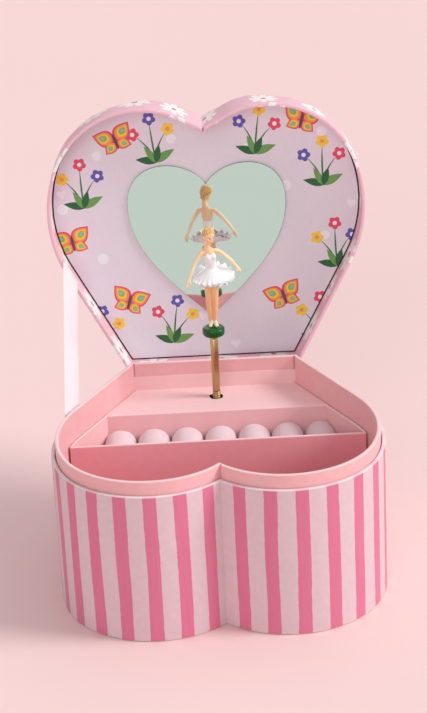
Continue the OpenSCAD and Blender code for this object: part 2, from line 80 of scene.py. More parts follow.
def round_angles(steps, first=0.0):
    return [first + 2 * math.pi * i / steps for i in range(steps)]


# ---------------------------------------------------------------- camera
CAM_AZ = math.radians(-0.073)
CAM_EL = math.radians(24.389)
CAM_ROLL = math.radians(-2.853)
CAM_DISTANCE = 1010.9
CAM_TARGET = Vector((-0.191, 0.0, 121.58))
FOCAL_PX = 2150.94
FRAME_H = 713.0
SENSOR = 36.0


def place_camera():
    level = math.cos(CAM_EL)
    back = Vector((math.sin(CAM_AZ) * level, -math.cos(CAM_AZ) * level, math.sin(CAM_EL)))
    right = (-back).cross(Vector((0, 0, 1))).normalized()
    up = right.cross(-back)
    r = math.cos(CAM_ROLL) * right + math.sin(CAM_ROLL) * up
    u = -math.sin(CAM_ROLL) * right + math.cos(CAM_ROLL) * up
    lens = bpy.data.cameras.new("view")
    lens.sensor_width = SENSOR
    lens.lens = FOCAL_PX * SENSOR / FRAME_H
    lens.clip_start = 0.01
    camera = placed("view", lens)
    turn = Matrix((r, u, back)).transposed().to_4x4()
    camera.matrix_world = Matrix.Translation((CAM_TARGET + CAM_DISTANCE * back) * MM) @ turn
    scene.camera = camera


place_camera()


# ---------------------------------------------------------------- finishes
def tint(r, g, b):
    """A colour given as 0 to 255 screen values."""
    out = []
    for c in (r, g, b):
        c /= 255
        out.append(c / 12.92 if c <= 0.04045 else ((c + 0.055) / 1.055) ** 2.4)
    return (*out, 1.0)


class Net:
    """A node tree wired up step by step. A value is a number, a vector or another node's output."""

    def __init__(self, tree):
        self.tree = tree

    def put(self, socket, value):
        if isinstance(value, bpy.types.NodeSocket):
            self.tree.links.new(value, socket)
        else:
            socket.default_value = value

    def add(self, kind, inputs=(), **props):
        node = self.tree.nodes.new(kind)
        for key, value in props.items():
            setattr(node, key, value)
        for key, value in dict(inputs).items():
            self.put(node.inputs[key], value)
        return node

    def math(self, op, a, b=0.0, c=0.0):
        node = self.add("ShaderNodeMath", operation=op)
        for i, value in enumerate((a, b, c)):
            self.put(node.inputs[i], value)
        return node.outputs[0]

    def vmath(self, op, a, b=(0, 0, 0)):
        node = self.add("ShaderNodeVectorMath", {0: a, 1: b}, operation=op)
        return node.outputs["Value" if op in ("DISTANCE", "LENGTH", "DOT_PRODUCT") else "Vector"]

    def between(self, a, b, t):
        """From a to b as t goes from 0 to 1."""
        return self.math("MULTIPLY_ADD", self.math("SUBTRACT", b, a), t, a)

    def split(self, vector):
        return self.add("ShaderNodeSeparateXYZ", {0: vector}).outputs

    def join(self, x, y, z=0.0):
        return self.add("ShaderNodeCombineXYZ", {0: x, 1: y, 2: z}).outputs[0]

    def grain(self, where, scale, detail=2.0, rough=0.5):
        node = self.add("ShaderNodeTexNoise", {
            "Vector": where, "Scale": scale, "Detail": detail, "Roughness": rough})
        return node.outputs["Fac"]

    def ramp(self, x, low, high, to_low=0.0, to_high=1.0):
        node = self.add("ShaderNodeMapRange", {0: x, 1: low, 2: high, 3: to_low, 4: to_high},
                        interpolation_type="SMOOTHSTEP")
        return node.outputs[0]


class Finish(Net):
    """A node material."""

    def __init__(self, name, **sockets):
        self.mat = bpy.data.materials.new(name)
        self.mat.use_nodes = True
        super().__init__(self.mat.node_tree)
        self.bsdf = self.tree.nodes["Principled BSDF"]
        for key, value in sockets.items():
            self.bsdf.inputs[key.replace("_", " ")].default_value = value

    def mix(self, fac, a, b, blend="MIX"):
        node = self.add("ShaderNodeMix", {0: fac, 6: a, 7: b}, data_type="RGBA", blend_type=blend)
        return node.outputs[2]

    def place(self):
        return self.add("ShaderNodeTexCoord").outputs["Object"]

    def uv(self):
        return self.add("ShaderNodeUVMap").outputs["UV"]

    def paint(self, colour):
        self.put(self.bsdf.inputs["Base Color"], colour)

    def rough(self, value):
        self.put(self.bsdf.inputs["Roughness"], value)

    def bump(self, height, distance):
        """distance is the bump's height in millimetres."""
        node = self.add("ShaderNodeBump", {"Height": height, "Distance": distance * MM})
        self.tree.links.new(node.outputs[0], self.bsdf.inputs["Normal"])
        return node


class Pattern(Net):
    """A geometry node tree with named inputs, worked in millimetres."""

    def __init__(self, name, **inputs):
        super().__init__(bpy.data.node_groups.new(name, "GeometryNodeTree"))
        kinds = {float: "NodeSocketFloat", int: "NodeSocketInt", tuple: "NodeSocketVector",
                 str: "NodeSocketMaterial"}
        self.tree.interface.new_socket("Geometry", in_out="OUTPUT", socket_type="NodeSocketGeometry")
        self.ids = {}
        for key, value in {**inputs, "Finish": ""}.items():
            item = self.tree.interface.new_socket(key, in_out="INPUT", socket_type=kinds[type(value)])
            if value != "":
                item.default_value = value
            self.ids[key] = item.identifier
        self.given = self.add("NodeGroupInput").outputs

    def close(self, geometry):
        """Ends the tree in metres, as real geometry with its finish."""
        sized = self.add("GeometryNodeTransform", {"Geometry": geometry, "Scale": (MM, MM, MM)})
        real = self.add("GeometryNodeRealizeInstances", {0: sized.outputs[0]})
        painted = self.add("GeometryNodeSetMaterial", {
            "Geometry": real.outputs[0], "Material": self.given["Finish"]})
        self.add("NodeGroupOutput", {0: painted.outputs[0]})

    def make(self, name, finish, **values):
        """One piece of this pattern, as a plain mesh whose faces point outwards."""
        obj = placed(name, bpy.data.meshes.new(name))
        modifier = obj.modifiers.new(name, "NODES")
        modifier.node_group = self.tree
        for key, value in {**values, "Finish": finish}.items():
            modifier[self.ids[key]] = value
        frozen(obj)
        face_outwards(obj.data)
        return obj


def face_outwards(mesh):
    bm = bmesh.new()
    bm.from_mesh(mesh)
    bmesh.ops.recalc_face_normals(bm, faces=bm.faces)
    bm.to_mesh(mesh)
    bm.free()


def paper_relief(f, where, depth=0.05):
    """Fine laid grain and a little unevenness of the board below."""
    fine = f.grain(where, 1400, 3, 0.6)
    broad = f.grain(where, 60, 2)
    f.bump(f.math("ADD", f.math("MULTIPLY", fine, 0.5), f.math("MULTIPLY", broad, 1.2)), depth)
    f.rough(f.ramp(fine, 0.2, 0.8, 0.5, 0.66))


def blossom_mask(f, uv, cell, radius, petals=8.0):
    """White petals and heart of scattered blossoms on a sheet measured in millimetres."""
    scaled = f.vmath("MULTIPLY", uv, (1 / cell, 1 / cell, 0))
    cells = f.add("ShaderNodeTexVoronoi", {"Vector": scaled, "Scale": 1.0, "Randomness": 0.45},
                  voronoi_dimensions="2D").outputs
    gap = f.vmath("SUBTRACT", scaled, cells["Position"])
    spot = f.split(gap)
    hue = f.split(cells["Color"])
    wobble = f.grain(f.vmath("MULTIPLY", uv, (0.5, 0.5, 0)), 1.0, 1)
    angle = f.math("ADD", f.math("ARCTAN2", spot[1], spot[0]), f.math("MULTIPLY", hue[0], 6.28))
    lobes = f.math("ABSOLUTE", f.math("COSINE", f.math("MULTIPLY", angle, petals / 2)))
    lobes = f.math("POWER", lobes, 0.45)
    least = f.math("ADD", f.math("MULTIPLY", wobble, 0.3), 0.62)
    size = f.math("ADD", f.math("MULTIPLY", hue[1], 0.3), least)
    size = f.math("MULTIPLY", size, radius / cell)
    reach = f.math("MULTIPLY", size, f.math("ADD", f.math("MULTIPLY", lobes, 0.75), 0.25))
    squares = [f.math("MULTIPLY", along, along) for along in spot[:2]]
    dist = f.math("SQRT", f.math("ADD", *squares))
    edge = f.math("SUBTRACT", reach, dist)
    petal = f.ramp(edge, 0.0, 0.012)
    heart = f.ramp(f.math("SUBTRACT", f.math("MULTIPLY", size, 0.2), dist), 0.0, 0.012)
    return petal, heart


# How far up the lid paper's sheet its lip lies, with a painted shadow for the gap at the notch, and where in
# plan the collar has its dark seam line at the notch and painted shade in the two back corners
LIP_AT = 17.4
COLLAR_SEAM_AND_CORNER_SHADE = ((0.7, -36.9), (-41.1, 80.0), (41.1, 80.0))
# Paler paper along folded edges: partly wear, partly a painted highlight
EDGE_WEAR_AND_HIGHLIGHT = tint(250, 222, 222)
# Pink stripes: their width, then the first middle and the pitch on each half of the heart
STRIPE_W = 6.4
RIGHT_FIRST, RIGHT_PITCH = 10.6, 14.95
LEFT_FIRST, LEFT_PITCH = 7.5, 14.4


def striped_paper():
    f = Finish("striped_paper", Specular_IOR_Level=0.35, Sheen_Weight=0.12, Sheen_Roughness=0.5)
    where = f.place()
    u, v, _ = f.split(f.uv())
    sheet = f.join(f.math("MULTIPLY", u, MM), f.math("MULTIPLY", v, MM))
    rag = f.grain(f.vmath("MULTIPLY", sheet, (500, 170, 1)), 1.0, 3, 0.75)
    sway = f.grain(f.vmath("MULTIPLY", sheet, (40, 18, 1)), 1.0, 1)
    shift = f.math("ADD", f.math("MULTIPLY", f.math("SUBTRACT", rag, 0.5), 0.9),
                   f.math("MULTIPLY", f.math("SUBTRACT", sway, 0.5), 1.7))
    half = []
    for sign, first, pitch in ((1, RIGHT_FIRST, RIGHT_PITCH), (-1, LEFT_FIRST, LEFT_PITCH)):
        along = f.math("ADD", f.math("MULTIPLY", u, sign), -first + pitch / 2)
        beat = f.math("SUBTRACT", f.math("FLOORED_MODULO", along, pitch), pitch / 2)
        dist = f.math("ABSOLUTE", f.math("ADD", beat, shift))
        band = f.ramp(dist, STRIPE_W / 2 - 0.12, STRIPE_W / 2 + 0.12, 1.0, 0.0)
        half.append(f.math("MULTIPLY", band, f.math("GREATER_THAN", f.math("MULTIPLY", u, sign), 0.0)))
    band = f.math("ADD", half[0], half[1])
    streak = f.grain(f.vmath("MULTIPLY", sheet, (900, 40, 1)), 1.0, 3, 0.7)
    pink = f.mix(streak, tint(212, 106, 138), tint(222, 127, 155))
    pale = f.mix(f.grain(where, 300, 3), tint(214, 185, 191), tint(226, 200, 205))
    body = f.mix(band, pale, pink)
    top = f.ramp(v, 76.0, 76.45)
    f.paint(f.mix(f.math("MULTIPLY", top, 0.75), body, tint(243, 228, 231)))
    paper_relief(f, where, 0.045)
    return f.mat


def pink_paper(name, main, light, edge_z=None, edge_y=None, seam_and_shade_lines=()):
    """Dyed paper over board, paler where it folds over an edge, partly from wear and partly as a painted
    highlight, with dark seam lines and painted shade in corners where asked.
    """
    f = Finish(name, Specular_IOR_Level=0.3, Sheen_Weight=0.32, Sheen_Roughness=0.5)
    where = f.place()
    mottled = f.mix(f.grain(where, 220, 4, 0.6), main, light)
    spot = f.split(where)
    if edge_z:
        # Top edge painted paler: wear and a painted highlight
        rag = f.math("MULTIPLY", f.grain(where, 900, 2), 0.25 * MM)
        wear_and_highlight = f.ramp(f.math("ADD", spot[2], rag), (edge_z - 0.45) * MM, edge_z * MM)
        mottled = f.mix(f.math("MULTIPLY", wear_and_highlight, 0.6), mottled, EDGE_WEAR_AND_HIGHLIGHT)
    if edge_y:
        # Front edge painted paler: wear and a painted highlight
        wear_and_highlight = f.ramp(spot[1], (edge_y + 0.1) * MM, (edge_y + 0.8) * MM, 1.0, 0.0)
        mottled = f.mix(f.math("MULTIPLY", wear_and_highlight, 0.45), mottled, EDGE_WEAR_AND_HIGHLIGHT)
    # Dark lines at the given spots: the paper's seam at the collar's notch, and painted shade in the corners
    # where the back flange meets the collar
    for x, y in seam_and_shade_lines:
        away = f.vmath("DISTANCE", f.join(spot[0], spot[1]), (x * MM, y * MM, 0.0))
        mottled = f.mix(f.ramp(away, 0.3 * MM, 0.75 * MM, 0.6, 0.0), mottled, tint(150, 74, 84))
    f.paint(mottled)
    paper_relief(f, where, 0.05)
    return f.mat


def lid_paper():
    f = Finish("lid_paper", Specular_IOR_Level=0.35)
    uv = f.uv()
    where = f.place()
    ground = f.mix(f.grain(where, 250, 3), tint(233, 184, 198), tint(240, 198, 210))
    petal, heart = blossom_mask(f, uv, 27.0, 9.8)
    print_ = f.mix(petal, ground, tint(246, 243, 240))
    print_ = f.mix(heart, print_, tint(206, 120, 148))
    # Painted shadow of the gap in the rim at the notch
    split = f.vmath("DISTANCE", uv, (0.1, LIP_AT, 0.0))
    f.paint(f.mix(f.ramp(split, 0.55, 0.95, 1.0, 0.0), print_, tint(34, 14, 20)))
    paper_relief(f, where, 0.045)
    return f.mat


def lining_paper():
    """Printed lining: the colours of the print are a face attribute."""
    f = Finish("lining_paper", Specular_IOR_Level=0.35)
    where = f.place()
    ink = f.add("ShaderNodeAttribute", attribute_name="ink").outputs["Color"]
    brush = f.grain(f.vmath("MULTIPLY", where, (1, 1, 0.35)), 900, 3, 0.7)
    f.paint(f.mix(f.ramp(brush, 0.3, 0.75, 0.0, 0.14), ink, (1, 1, 1, 1), "SOFT_LIGHT"))
    paper_relief(f, where, 0.04)
    return f.mat


def mirror_finish():
    f = Finish("mirror", Base_Color=(0.88, 0.93, 0.9, 1), Metallic=1.0)
    where = f.place()
    haze = f.grain(where, 45, 2)
    f.rough(f.ramp(haze, 0.3, 0.8, 0.02, 0.05))
    f.bump(f.grain(where, 25, 1), 0.02)
    return f.mat


def mirror_edge():
    f = Finish("mirror_edge", Metallic=0.3)
    where = f.place()
    f.paint(f.mix(f.grain(where, 400), tint(120, 116, 118), tint(160, 158, 158)))
    f.rough(f.ramp(f.grain(where, 900), 0, 1, 0.15, 0.4))
    return f.mat


def satin():
    """Narrow satin ribbon: fine cross weave and a corded selvedge, on its own width and length."""
    f = Finish("satin", Sheen_Weight=0.15, Sheen_Roughness=0.35, Anisotropic=0.4, Specular_IOR_Level=0.5)
    u, v, _ = f.split(f.uv())
    weft = f.math("SINE", f.math("MULTIPLY", v, 2 * math.pi / 0.34))
    warp = f.math("SINE", f.math("MULTIPLY", u, 2 * math.pi / 0.22))
    edge = f.ramp(f.math("ABSOLUTE", f.math("SUBTRACT", u, 5.0)), 4.45, 4.7)
    weave = f.math("ADD", f.math("MULTIPLY", weft, 0.6), f.math("MULTIPLY", warp, 0.4))
    stain = f.grain(f.join(u, f.math("MULTIPLY", v, 0.15)), 0.7, 2)
    cloth = f.mix(stain, tint(234, 225, 229), tint(243, 236, 239))
    f.paint(f.mix(f.math("MULTIPLY", edge, 0.5), cloth, tint(232, 216, 221)))
    f.rough(f.ramp(weft, -1, 1, 0.3, 0.5))
    f.bump(f.math("ADD", weave, f.math("MULTIPLY", edge, 1.5)), 0.03)
    return f.mat


def velvet():
    f = Finish("velvet", Sheen_Weight=0.6, Sheen_Roughness=0.4, Specular_IOR_Level=0.15)
    f.bsdf.inputs["Sheen Tint"].default_value = tint(255, 236, 238)
    where = f.place()
    pile = f.grain(where, 2600, 2, 0.8)
    brushed = f.grain(where, 130, 3, 0.6)
    f.paint(f.mix(f.math("ADD", f.math("MULTIPLY", pile, 0.6), f.math("MULTIPLY", brushed, 0.5)),
                  tint(222, 196, 203), tint(242, 222, 227)))
    f.rough(f.ramp(pile, 0.2, 0.8, 0.75, 0.95))
    f.bump(f.math("ADD", pile, f.math("MULTIPLY", brushed, 0.8)), 0.12)
    return f.mat


def metal(name, dark, light, rough_low, rough_high, streaks=(1, 1, 1)):
    f = Finish(name, Metallic=1.0)
    where = f.place()
    stretched = f.vmath("MULTIPLY", where, streaks)
    tone = f.grain(stretched, 700, 3, 0.65)
    f.paint(f.mix(tone, dark, light))
    f.rough(f.ramp(f.grain(where, 260, 3), 0.25, 0.75, rough_low, rough_high))
    f.bump(tone, 0.012)
    return f.mat


def plastic(name, dark, light, rough_low=0.2, rough_high=0.34, coat=0.0, relief=0.02, gloss=0.5):
    f = Finish(name, Coat_Weight=coat, Coat_Roughness=0.12, Specular_IOR_Level=gloss)
    where = f.place()
    f.paint(f.mix(f.grain(where, 320, 3), dark, light))
    f.rough(f.ramp(f.grain(where, 800, 2), 0.2, 0.8, rough_low, rough_high))
    f.bump(f.grain(where, 500, 2), relief)
    return f.mat


def grey_board(name, dark, light):
    f = Finish(name, Specular_IOR_Level=0.2)
    where = f.place()
    fibre = f.grain(f.vmath("MULTIPLY", where, (1, 3, 1)), 900, 4, 0.75)
    f.paint(f.mix(fibre, dark, light))
    f.rough(f.ramp(fibre, 0.2, 0.8, 0.75, 0.92))
    f.bump(fibre, 0.06)
    return f.mat


STRIPED = striped_paper()
COLLAR = pink_paper("collar_paper", tint(232, 167, 171), tint(241, 185, 187), edge_z=COLLAR_TOP,
                    seam_and_shade_lines=COLLAR_SEAM_AND_CORNER_SHADE)
INSERT = pink_paper("insert_paper", tint(229, 148, 155), tint(238, 165, 171), edge_z=DECK_TOP,
                    edge_y=DECK_FRONT)
# The divider's pink is the insert's paper painted paler, as painted light
DIVIDER = pink_paper("divider_paper", tint(238, 158, 168), tint(245, 171, 180), edge_z=DECK_TOP)
LINER = pink_paper("liner_paper", tint(229, 150, 160), tint(238, 165, 172))
LID_PAPER = lid_paper()
LINING = lining_paper()
MIRROR = mirror_finish()
MIRROR_EDGE = mirror_edge()
SATIN = satin()
VELVET = velvet()
BRASS = metal("brass", tint(162, 138, 84), tint(214, 192, 136), 0.2, 0.32, (1, 1, 0.05))
GREEN = plastic("green_plastic", tint(2, 78, 28), tint(8, 96, 40), 0.16, 0.24, gloss=0.35)
CARD = grey_board("grey_card", tint(196, 184, 180), tint(226, 216, 212))
# Near-black board that stands in as painted shade in the lid's gap round the lining and inside the spindle
# hole
PAINTED_SHADE_BOARD = grey_board("bare_board", tint(52, 38, 40), tint(76, 58, 58))
STEEL = metal("steel", tint(168, 170, 174), tint(206, 208, 212), 0.25, 0.42)
BLUE_STEEL = metal("blue_steel", tint(74, 84, 108), tint(112, 124, 150), 0.25, 0.4)


# ---------------------------------------------------------------- mesh helpers
def new_mesh(name, verts, faces, finish, body, replaces=(), slot=None, smooth=True, uvs=None):
    """A piece from points in millimetres. uvs holds one (u, v) for each corner of each face."""
    mesh = bpy.data.meshes.new(name)
    mesh.from_pydata([Vector(v) * MM for v in verts], [], faces)
    if uvs:
        layer = mesh.uv_layers.new(name="UVMap")
        flat = [c for face in uvs for corner in face for c in corner]
        layer.data.foreach_set("uv", flat)
    face_outwards(mesh)
    return dress(placed(name, mesh), finish, body, replaces, smooth)


def dress(obj, finish, body, replaces=(), smooth=True):
    if finish is not None:
        obj.data.materials.clear()
        for f in finish if isinstance(finish, (list, tuple)) else (finish,):
            obj.data.materials.append(f)
    if smooth:
        smooth_by_angle(obj)
    if body:
        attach(obj, body)
    if replaces:
        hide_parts(*replaces)
    return obj


def smooth_by_angle(obj, angle=35):
    """Smooth faces, with the edges that turn sharply kept sharp."""
    mesh = obj.data
    bm = bmesh.new()
    bm.from_mesh(mesh)
    limit = math.radians(angle)
    for e in bm.edges:
        e.smooth = len(e.link_faces) == 2 and e.calc_face_angle(0.0) < limit
    for face in bm.faces:
        face.smooth = True
    bm.to_mesh(mesh)
    bm.free()


def frozen(obj):
    """The object's evaluated shape as a plain mesh, with its modifiers gone."""
    bpy.context.view_layer.update()
    shape = bpy.data.meshes.new_from_object(obj.evaluated_get(bpy.context.evaluated_depsgraph_get()))
    obj.modifiers.clear()
    obj.data = shape
    return obj


# ---------------------------------------------------------------- heart outline
HALF_WIDTH, BACK_HALF, BACK_Y = 80.0, 43.5, 84.0
SIDE_R, LOBE_R, LOBE_START = 65.0, 46.5, math.radians(20.6)
SIDE_X = HALF_WIDTH - SIDE_R
LOBE_X = SIDE_X + (SIDE_R - LOBE_R) * math.cos(LOBE_START)
LOBE_Y = -(SIDE_R - LOBE_R) * math.sin(LOBE_START)
BACK_REACH = math.hypot(BACK_HALF - SIDE_X, BACK_Y)
TANGENT = math.atan2(BACK_Y, BACK_HALF - SIDE_X) - math.acos(SIDE_R / BACK_REACH)
LOBE_STEPS, SIDE_STEPS, EDGE_STEPS, CORNER_STEPS = 40, 20, 8, 4


def half_outline(d, corner):
    """Right half of the heart, moved inwards by d, from the notch to the middle of the back."""
    r2 = LOBE_R - d
    first = -math.pi + math.acos(LOBE_X / r2)
    pts = []
    for i in range(LOBE_STEPS + 1):
        a = first + (-LOBE_START - first) * i / LOBE_STEPS
        pts.append((LOBE_X + r2 * math.cos(a), LOBE_Y + r2 * math.sin(a)))
    pts[0] = (0.0, pts[0][1])
    r1 = SIDE_R - d
    for i in range(1, SIDE_STEPS + 1):
        a = -LOBE_START + (TANGENT + LOBE_START) * i / SIDE_STEPS
        pts.append((SIDE_X + r1 * math.cos(a), r1 * math.sin(a)))
    rc = max(corner - d, 0.06)
    cut = rc * math.tan((math.pi / 2 - TANGENT) / 2)
    t = pts[-1]
    run = (BACK_Y - d - t[1]) / math.cos(TANGENT)
    start = run - cut
    cx = t[0] - start * math.sin(TANGENT) - rc * math.cos(TANGENT)
    cy = t[1] + start * math.cos(TANGENT) - rc * math.sin(TANGENT)
    for i in range(1, EDGE_STEPS):
        k = start * i / EDGE_STEPS
        pts.append((t[0] - k * math.sin(TANGENT), t[1] + k * math.cos(TANGENT)))
    for i in range(CORNER_STEPS + 1):
        a = TANGENT + (math.pi / 2 - TANGENT) * i / CORNER_STEPS
        pts.append((cx + rc * math.cos(a), cy + rc * math.sin(a)))
    x0 = pts[-1][0]
    for i in range(1, EDGE_STEPS + 1):
        pts.append((x0 * (1 - i / EDGE_STEPS), BACK_Y - d))
    return pts


def outline(d, corner=1.4):
    half = half_outline(d, corner)
    return half + [(-x, y) for x, y in half[-2:0:-1]]


def run_lengths():
    """Distance along the outer face at each station, 0 at the notch, from right to left."""
    half = half_outline(0, 1.4)
    s = [0.0]
    for a, b in zip(half, half[1:]):
        s.append(s[-1] + math.dist(a, b))
    return s + [2 * s[-1] - v for v in s[-2::-1]]


RUN = run_lengths()
ROUND = RUN[-1]


def swept_wall(section, corner=1.4):
    """Sweeps a closed section of (inset, height) round the heart. Returns points, faces and corner uvs."""
    rings = [outline(d, corner) for d, _ in section]
    n, m = len(rings[0]), len(section)
    verts = [(rings[j][i][0], rings[j][i][1], section[j][1]) for i in range(n) for j in range(m)]
    v_run = [section[0][1]]
    for a, b in zip(section, section[1:] + section[:1]):
        v_run.append(v_run[-1] + math.dist(a, b))
    faces, uvs = [], []
    for i in range(n):
        u0, u1 = RUN[i], RUN[i + 1]
        if u0 >= ROUND / 2 - 1e-6:
            u0, u1 = u0 - ROUND, u1 - ROUND
        k = (i + 1) % n
        for j in range(m):
            q = (j + 1) % m
            faces.append((i * m + j, k * m + j, k * m + q, i * m + q))
            uvs.append(((u0, v_run[j]), (u1, v_run[j]), (u1, v_run[j + 1]), (u0, v_run[j + 1])))
    return verts, faces, uvs


def rounded_section(d0, d1, z0, z1, r=0.4, bottom=0.15):
    """Section of a board wall whose top edges are rounded by the paper folded over them."""
    pts = [(d0, z0 + bottom)]
    for i in range(5):
        a = math.pi / 2 * i / 4
        pts.append((d0 + r - r * math.cos(a), z1 - r + r * math.sin(a)))
    for i in range(5):
        a = math.pi / 2 * i / 4
        pts.append((d1 - r + r * math.sin(a), z1 - r + r * math.cos(a)))
    pts += [(d1, z0 + bottom), (d1 - bottom, z0), (d0 + bottom, z0)]
    return pts


def bands(n, layers):
    """Faces that join each of the layers of n points to the next."""
    return [(j * n + i, j * n + (i + 1) % n, (j + 1) * n + (i + 1) % n, (j + 1) * n + i)
            for j in range(layers - 1) for i in range(n)]


def plate(points, z0, z1, bevel=0.15):
    """A flat board with softened edges, from its outline."""
    n = len(points)
    centre = Vector((sum(p[0] for p in points) / n, sum(p[1] for p in points) / n))
    verts = []
    for z, inset in ((z0, bevel), (z0 + bevel, 0), (z1 - bevel, 0), (z1, bevel)):
        for p in points:
            away = (Vector(p) - centre).normalized()
            verts.append((p[0] - away.x * inset, p[1] - away.y * inset, z))
    return verts, [tuple(range(n)), tuple(range(3 * n, 4 * n))] + bands(n, 4)


def loft(rings, cap=True, close_path=False):
    """Joins rings of equal length into a skin, with the first and last ring capped."""
    n = len(rings[0])
    verts = [p for ring in rings for p in ring]
    faces = []
    last = len(rings) if close_path else len(rings) - 1
    for j in range(last):
        k = (j + 1) % len(rings)
        faces += [(j * n + i, j * n + (i + 1) % n, k * n + (i + 1) % n, k * n + i) for i in range(n)]
    if cap and not close_path:
        faces += [tuple(range(n)), tuple(range((len(rings) - 1) * n, len(rings) * n))]
    return verts, faces


def lathe(profile, x, y, steps=48):
    """Turns (radius, height) points about an upright axis."""
    return loft([[(x + r * math.cos(a), y + r * math.sin(a), z) for a in round_angles(steps)]
                 for r, z in profile])


def cut_away(obj, cutters, operation="DIFFERENCE"):
    """Cuts the given closed meshes out of a piece for good."""
    tools = []
    for verts, faces in cutters:
        mesh = bpy.data.meshes.new("cutter")
        mesh.from_pydata([Vector(v) * MM for v in verts], [], faces)
        face_outwards(mesh)
        tool = placed("cutter", mesh)
        tools.append(tool)
        modifier = obj.modifiers.new("cut", "BOOLEAN")
        modifier.operation = operation
        modifier.solver = "EXACT"
        modifier.object = tool
    frozen(obj)
    for tool in tools:
        bpy.data.objects.remove(tool)
    return obj


def bar_along_y(x, z, y0, y1, r, steps=32):
    return loft([[(x + r * math.cos(a), y, z + r * math.sin(a)) for a in round_angles(steps)]
                 for y in (y0, y1)])


def prism(points, z0, z1):
    return loft([[(x, y, z) for x, y in points] for z in (z0, z1)])


# ---------------------------------------------------------------- box
BACK_HOLES = [(0.6, 36.0, 3.4), (-11.0, 58.0, 1.3), (36.0, 58.0, 1.3), (12.0, 26.0, 1.3)]


def box_walls():
    verts, faces, uvs = swept_wall(rounded_section(0, 1.75, 0, SHELL_TOP, 0.35))
    shell = new_mesh("striped_wall", verts, faces, STRIPED, None, uvs=uvs)
    cut_away(shell, [bar_along_y(x, z, 81, 85, r) for x, z, r in BACK_HOLES])
    dress(shell, None, "box", ["outer_shell"])
    verts, faces, uvs = swept_wall(rounded_section(2.2, 4.0, BASE_TOP, COLLAR_TOP, 0.45), 3.0)
    collar = new_mesh("collar", verts, faces, COLLAR, None, uvs=uvs)
    cut_away(collar, [bar_along_y(x, z, 78, 82.5, r) for x, z, r in BACK_HOLES])
    dress(collar, None, "box", ["inner_collar"])
    new_mesh("base_card", *plate(outline(1.78), 0.0, BASE_TOP), CARD, "box", ["base_board"], "grey_card")
    new_mesh("floor_paper", *plate(outline(4.1, 4.6), BASE_TOP, LINER_TOP), LINER, "box", ["floor_liner"],
             "pink_paper")


box_walls()

INSERT_D = 4.45


def side_x(d, y):
    """Half width of the heart, moved inwards by d, at distance y from its widest line."""
    r = SIDE_R - d
    if y > r * math.sin(TANGENT):
        return SIDE_X + (r - y * math.sin(TANGENT)) / math.cos(TANGENT)
    return SIDE_X + math.sqrt(r * r - y * y)


def folded_card():
    """The deck and the wall that drops from its front edge are one folded card."""
    r = 0.7
    top, front = DECK_TOP, DECK_FRONT
    section = [(79.9, top), (front + r, top)]
    section += [(front + r - r * math.sin(a), top - r + r * math.cos(a)) for a in (0.4, 0.8, 1.2)]
    section += [(front, top - r), (front, TRAY_Z - TRAY_T), (front + 1.3, TRAY_Z - TRAY_T),
                (front + 1.3, top - 1.8), (79.9, top - 1.8)]
    card = new_mesh("insert_card", *loft([[(x, y, z) for y, z in section] for x in (-75, 75)]), INSERT, None)
    inside = [(x, y) for x, y in outline(INSERT_D, 4.6)]
    cut_away(card, [prism(inside, TRAY_Z - 3, 72)], "INTERSECT")
    ragged = []
    rng = random.Random(4)
    for a in round_angles(36):
        r = 3.55 + rng.uniform(-0.3, 0.2)
        ragged.append((HOLE_X - 0.25 + r * math.cos(a), HOLE_Y + r * math.sin(a)))
    cut_away(card, [prism(ragged, 60, 75)])
    # The hole's cut walls take the dark board as painted shade
    card.data.materials.append(PAINTED_SHADE_BOARD)
    for polygon in card.data.polygons:
        from_hole = math.hypot(polygon.center.x - HOLE_X * MM, polygon.center.y - HOLE_Y * MM)
        if from_hole < 4.5 * MM and abs(polygon.normal.z) < 0.5:
            polygon.material_index = 1
    dress(card, None, "box", ["insert_deck", "insert_front_wall"])


folded_card()


def straight_board(name, xs, y0, y1, z0, z1, finish, nodes, r=0.35):
    """An upright board across the box whose top edge is rounded by its folded paper."""
    section = [(y0, z0)]
    section += [(y0 + r - r * math.cos(a), z1 - r + r * math.sin(a)) for a in (0, 0.5, 1.05, 1.57)]
    section += [(y1 - r + r * math.sin(a), z1 - r + r * math.cos(a)) for a in (0, 0.5, 1.05, 1.57)]
    section += [(y1, z0)]
    rings = [[(x, y, z) for y, z in section] for x in xs]
    return new_mesh(name, *loft(rings), finish, "box", nodes, "pink_paper")


DIVIDER_HALF = SIDE_X + math.sqrt((SIDE_R - 4.0) ** 2 - DIVIDER_BACK ** 2) - 0.6
straight_board("divider_board", (-DIVIDER_HALF, 0, DIVIDER_HALF), DIVIDER_FRONT, DIVIDER_BACK,
               LINER_TOP, DECK_TOP, DIVIDER, ["divider"])
straight_board("back_flange", (-41.5, 0, 41.5), 79.5, 79.9, DECK_TOP, 76.2,
               INSERT, ["insert_back_flange"], 0.15)


